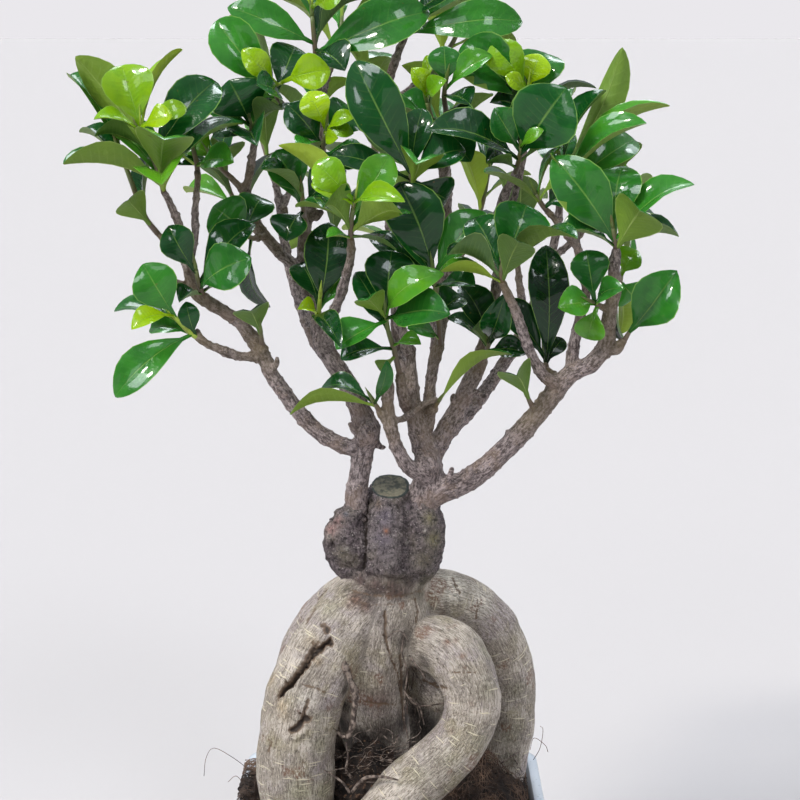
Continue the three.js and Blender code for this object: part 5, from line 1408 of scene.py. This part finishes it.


# Leaves that stand out in the crown: (column and row of the tip, tone). Tone 0 is a deep blue
# green, 0.5 a mid green and 1 a bright lime. The others draw a tone. A listed tone holds painted
# light and shade as well as the leaf's own green: it is higher where the leaf shows a broad sheen
# and lower where it lies in shade.
leaf_tones_and_light = {
    "left_low": [(132, 324, 0.97), (143, 263, 0.44), (114, 397, 0.42), (114, 308, 0.3)],
    "left_side": [(68, 75, 0.36)],
    "left_top": [(216, 79, 0.25), (237, 115, 0.25), (166, 129, 0.4)],
    "left_inner": [(169, 225, 0.14), (246, 257, 0.36), (251, 220, 0.16)],
    "inner_side": [(262, 308, 0.08)],
    "inner_top": [(229, 80, 0.22), (256, 144, 0.2)],
    "upper_left": [(257, 83, 0.25), (216, 19, 0.46), (231, 15, 0.3), (296, 43, 0.2)],
    "top_left": [(427, 7, 0.36), (228, 5, 0.42), (344, 69, 0.12)],
    "front": [(389, 155, 0.58), (280, 143, 0.85), (393, 173, 0.45), (403, 205, 0.5)],
    "stub_shoot": [(298, 307, 0.98), (340, 276, 0.52), (328, 222, 0.06), (339, 343, 0.12)],
    "center_low": [(438, 271, 0.60), (335, 348, 0.46), (392, 249, 0.10), (356, 271, 0.15),
                   (444, 308, 0.34), (340, 356, 0.15)],
    "center_foot": [(289, 407, 0.46), (321, 384, 0.20)],
    "center_front": [(398, 181, 0.12), (486, 211, 0.44), (461, 296, 0.2), (474, 283, 0.25)],
    "center_upper": [(354, 60, 0.18), (422, 108, 0.2), (463, 147, 0.2), (447, 199, 0.15)],
    "long_leaf": [(505, 344, 0.5)],
    "mid_leader": [(470, 159, 0.2), (473, 129, 0.1)],
    "top_right": [(521, 16, 0.42), (479, 5, 0.4)],
    "upper_right": [(462, 42, 0.36), (547, 51, 0.34)],
    "right_front": [(566, 88, 0.26), (430, 125, 0.1), (527, 91, 0.05), (494, 107, 0.3)],
    "right_upper": [(667, 100, 0.55), (643, 120, 0.5), (635, 135, 0.42), (623, 49, 0.3)],
    "right_end": [(555, 156, 0.36), (622, 163, 0.36), (690, 178, 0.45), (651, 176, 0.32),
                  (677, 231, 0.15)],
    "right_inner": [(527, 204, 0.28), (473, 215, 0.24), (518, 241, 0.1)],
    "right_fork": [(545, 246, 0.03), (499, 299, 0.1)],
    "right_spur": [(559, 306, 0.55), (587, 339, 0.6), (585, 250, 0.3)],
    "right_lone": [(674, 272, 0.36)],
    "heavy_spur": [(524, 351, 0.15), (461, 283, 0.12)],
}
# Two leaves arch more than the rest, clear of their neighbours.
high_arches = {"center_low": [(438, 271, 0.10)], "front_upper_young": [(307, 91, 0.10)]}


def leaf_material(name, tones, vein, gloss, below=False):
    """The leaf skin: its tone, a pale midrib and side veins, a thin pale margin and faint mottling."""
    material, tree, shader = new_material(
        name, Roughness=gloss, Coat_Weight=0.0 if below else 0.62, Coat_Roughness=0.04,
        Specular_IOR_Level=0.3 if below else 0.12)
    spot = coordinates(tree)
    blade = add_node(tree, "SeparateXYZ", {0: add_node(tree, "UVMap", uv_map="blade").outputs["UV"]})
    from_midrib = {0: combine(tree, blade.outputs["X"], -0.5, "ADD")}
    across = combine(tree, add_node(tree, "Math", from_midrib, operation="ABSOLUTE").outputs[0], 2.0)
    mottle = between(tree, speckle(tree, spot, 95, 3), 0.3, 0.7, -0.04, 0.04)
    uneven = combine(tree, stored(tree, "tone"), mottle, "ADD")
    ramp = add_node(tree, "ValToRGB", {"Fac": uneven})
    stops = ramp.color_ramp.elements
    stops[0].color, stops[1].color = colour(*tones[0]), colour(*tones[-1])
    for index, stop in enumerate(tones[1:-1]):
        stops.new((index + 1) / (len(tones) - 1)).color = colour(*stop)
    # Side veins leave the midrib at a slant and fade towards the margin.
    slant = combine(tree, blade.outputs["Y"], combine(tree, across, -0.16), "ADD")
    beat = add_node(tree, "Math", {0: combine(tree, slant, 74.0)}, operation="SINE").outputs[0]
    side_veins = combine(tree, between(tree, beat, 0.75, 1.0), between(tree, across, 0.2, 0.9, 1.0, 0.0))
    side_veins = combine(tree, side_veins, 0.11 if below else 0.04)
    faded = between(tree, blade.outputs["Y"], 0.4, 1.0, 0.62 if below else 0.42, 0.12)
    midrib = combine(tree, between(tree, across, 0.012, 0.05, 1.0, 0.0), faded)
    leaf_colour = coated(
        tree, ramp.outputs["Color"],
        (combine(tree, side_veins, midrib, "MAXIMUM"), vein),
        (combine(tree, between(tree, across, 0.945, 0.985), 0.55), vein),
        (combine(tree, between(tree, speckle(tree, spot, 260, 2), 0.72, 0.77), 0.5), (96, 92, 30)))
    feed(tree, leaf_colour, shader, "Base Color")
    # The skin dimples between its veins, which breaks the highlights up.
    relief = combine(tree, beat, between(tree, across, 0.05, 0.9, 0.055, 0.0))
    relief = combine(tree, relief, combine(tree, midrib, 1.2 if below else -0.9), "ADD")
    wrinkled = between(tree, speckle(tree, spot, 26, 1), 0.40, 0.62, 0.50, 1.4)
    relief = combine(tree, relief, combine(tree, speckle(tree, spot, 180, 3, 0.6), wrinkled), "ADD")
    relief = combine(tree, relief, combine(tree, speckle(tree, spot, 800, 2, 0.6), 0.10), "ADD")
    raise_surface(tree, shader, relief, 0.6, 0.0010)
    return material


top_tones = ((5, 41, 15), (17, 77, 27), (56, 132, 38), (102, 155, 20), (153, 188, 7))
under_tones = ((80, 110, 58), (106, 138, 54), (128, 158, 54), (150, 177, 54), (180, 204, 64))
leaf_top = leaf_material("glossy_leaf", top_tones, (142, 184, 84), 0.23)
leaf_below = leaf_material("dull_leaf_underside", under_tones, (176, 198, 110), 0.5, below=True)

stem_skin, tree, shader = new_material("green_stem", Roughness=0.42)
spot = coordinates(tree)
tone = stored(tree, "tone")
stem_colour = coated(
    tree, colour(104, 88, 74),
    (between(tree, tone, 0.06, 0.34), (98, 118, 54)),
    (between(tree, tone, 0.45, 0.9), (160, 184, 66)),
    (between(tree, speckle(tree, spot, 150, 3), 0.5, 0.68, 0.0, 0.7), (112, 96, 60)))
feed(tree, stem_colour, shader, "Base Color")
shoot_materials = (leaf_top, leaf_below, stem_skin)
for material in shoot_materials:
    leaf_model.data.materials.append(material)


def stem_course(trace, before, thick, thin):
    """A green stem's centre line, from inside the wood it grows on."""
    points = [Vector(before)] + [place(*knot) for knot in trace]
    total = sum((there - here).length for here, there in zip(points, points[1:]))
    steps = max(3, round(total / 0.004))
    line = []
    for step in range(steps + 1):
        share = step / steps
        line.append((smooth_course(points, share), thick + (thin - thick) * share))
    return line


def terminal_bud(line):
    """A slender pointed bud that ends a stem."""
    point, radius = line[-1]
    heading = (point - line[-2][0]).normalized()
    return [(point + heading * rise, radius * size) for rise, size in
            ((-0.001, 0.9), (0.002, 1.05), (0.005, 0.8), (0.008, 0.42), (0.0105, 0.06))]


def marked(leaves, column, row, otherwise):
    """The value of the listed leaf whose tip is at a pixel, or else the other value."""
    for tip_column, tip_row, value in leaves:
        if math.hypot(column - tip_column, row - tip_row) < 8:
            otherwise = value
    return otherwise


seat_reach = 0.0045  # a leaf's root is no further than this from its stem's centre line
draw = random.Random(19)
for name, (scion, wood, stem, young) in shoots.items():
    trace = limbs[scion][wood] if isinstance(wood, str) else wood
    twig_end = place(*trace[-1][:3])
    pieces = [(name, stem_course(stem, twig_end, stem_radius, stem_tip_radius), False)]
    if young:
        green_end = pieces[0][1][-1][0]
        young_line = stem_course(young, green_end, young_radius, young_tip_radius)
        pieces.append((name + "_young", young_line, True))
    for node, line, is_young in pieces:
        lime = is_young or name in young_shoots
        leaves = []
        for seat in read_seats(node):
            root, along, _, _, length, _ = seat
            if min((root - knot).length for knot, _ in line) > seat_reach:
                continue
            column, row = pixel_of(root + along * length)
            tone = draw.choice((draw.uniform(0.0, 0.2), draw.uniform(0.12, 0.48),
                                draw.uniform(0.35, 0.75)))
            if is_young:
                tone = draw.uniform(0.76, 0.98)
            bend = {"tone": marked(leaf_tones_and_light.get(node, []), column, row, tone),
                    "arch": marked(high_arches.get(node, []), column, row, draw.uniform(0.0, 0.03)),
                    "elliptic": draw.uniform(0.0, 0.75), "fold": draw.choice((0.04, 0.14, 0.28, 0.5)),
                    "swell": draw.uniform(0.06, 0.17), "wave": draw.uniform(-0.09, 0.09),
                    "beats": draw.uniform(1.5, 3.5), "phase": draw.uniform(0, 6),
                    "twist": draw.uniform(-0.16, 0.16), "recurve": draw.uniform(0.0, 0.13),
                    "sway": draw.uniform(-0.035, 0.035)}
            leaves.append(leaf_at(seat, bend))
        stem_piece = swept(node + "_stem", [line, terminal_bud(line)], 2)
        bpy.ops.object.shade_smooth()
        stem_piece.data.uv_layers.new(name="blade")
        for material in shoot_materials:
            stem_piece.data.materials.append(material)
        for face in stem_piece.data.polygons:
            face.material_index = 2
        from_base = np.linalg.norm(corners_of(stem_piece) - np.array(line[0][0]), axis=1)
        greening = 0.42 * np.clip(from_base / from_base.max(), 0, 1)
        store(stem_piece, "tone", np.full(len(from_base), 0.9) if lime else greening)
        shoot = join_pieces([stem_piece] + leaves, node)
        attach(shoot, "root")
        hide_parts(node)
bpy.data.objects.remove(leaf_model)

# ---- Floor and light ----
# The tree stands on a pale floor in soft daylight: a broad key from the upper left front, which
# draws sharp highlights on the leaves, a weaker one from above and behind, and a pale room.
bpy.ops.mesh.primitive_circle_add(vertices=96, radius=400, fill_type="NGON", location=(0, 0, 0))
floor = bpy.context.object
floor.name = "pale_floor"
floor_paint, tree, shader = new_material("pale_floor", Roughness=1.0, IOR=1.0)
shader.inputs["Base Color"].default_value = colour(188, 184, 183)
floor.data.materials.append(floor_paint)
floor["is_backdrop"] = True


def daylight(name, coming_from, strength, spread, tint):
    bpy.ops.object.light_add(type="SUN", location=coming_from)
    lamp = bpy.context.object
    lamp.name = name
    lamp.data.energy = strength
    lamp.data.angle = math.radians(spread)
    lamp.data.color = colour(*tint)[:3]
    lamp.rotation_euler = (-Vector(coming_from)).to_track_quat("-Z", "Y").to_euler()


daylight("key_light", (-1.0, -0.9, 1.5), 1.26, 9, (255, 250, 240))
daylight("back_light", (0.3, 1.0, 1.5), 0.6, 24, (236, 244, 255))

world = bpy.data.worlds.new("pale_room")
bpy.context.scene.world = world
world.use_nodes = True
room = world.node_tree
towards = add_node(room, "TexCoord").outputs["Generated"]
upwards = add_node(room, "SeparateXYZ", {0: towards}).outputs["Z"]
room_light = between(room, upwards, -0.1, 0.9, 0.15, 0.58)


def along_axis(axis):
    """How far the way that light comes from leans along an axis."""
    leaning = add_node(room, "VectorMath", {0: towards, 1: axis}, operation="DOT_PRODUCT")
    return leaning.outputs["Value"]


def window(direction, half_width, half_height, strength):
    """A bright window in the room, for the leaves to mirror. Its sizes are the sines of its angles."""
    facing = Vector(direction).normalized()
    sideways = facing.cross((0, 0, 1)).normalized()
    share = None
    for axis, reach in ((sideways, half_width), (sideways.cross(facing), half_height)):
        off_axis = add_node(room, "Math", {0: along_axis(axis)}, operation="ABSOLUTE").outputs[0]
        inside = between(room, off_axis, reach - 0.02, reach + 0.02, 1.0, 0.0)
        share = combine(room, share, inside) if share else inside
    in_front = between(room, along_axis(facing), 0.0, 0.2)
    return combine(room, combine(room, share, in_front), strength)


for direction, half_width, half_height, strength in (
        ((-0.80, -0.50, 0.70), 0.15, 0.20, 11.0), ((0.45, -0.85, 0.85), 0.12, 0.15, 9.0),
        ((-0.10, 0.55, 1.00), 0.24, 0.13, 10.0), ((0.95, 0.35, 0.55), 0.10, 0.18, 7.0),
        ((-0.40, -0.78, 0.52), 0.20, 0.13, 3.0)):
    pane = window(direction, half_width, half_height, strength)
    room_light = combine(room, room_light, pane, "ADD")
# The camera sees an even pale room; only the tree is lit by its windows.
seen = add_node(room, "LightPath").outputs["Is Camera Ray"]
strength = add_node(room, "Mix", {"Factor": seen}, data_type="FLOAT")
room.links.new(room_light, strength.inputs[2])
strength.inputs[3].default_value = 1.0
sky_colour = blend(room, seen, colour(242, 247, 255), colour(234, 232, 236))
room.links.new(sky_colour, room.nodes["Background"].inputs["Color"])
room.links.new(strength.outputs[0], room.nodes["Background"].inputs["Strength"])
bpy.context.scene.view_settings.view_transform = "Standard"

low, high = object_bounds()
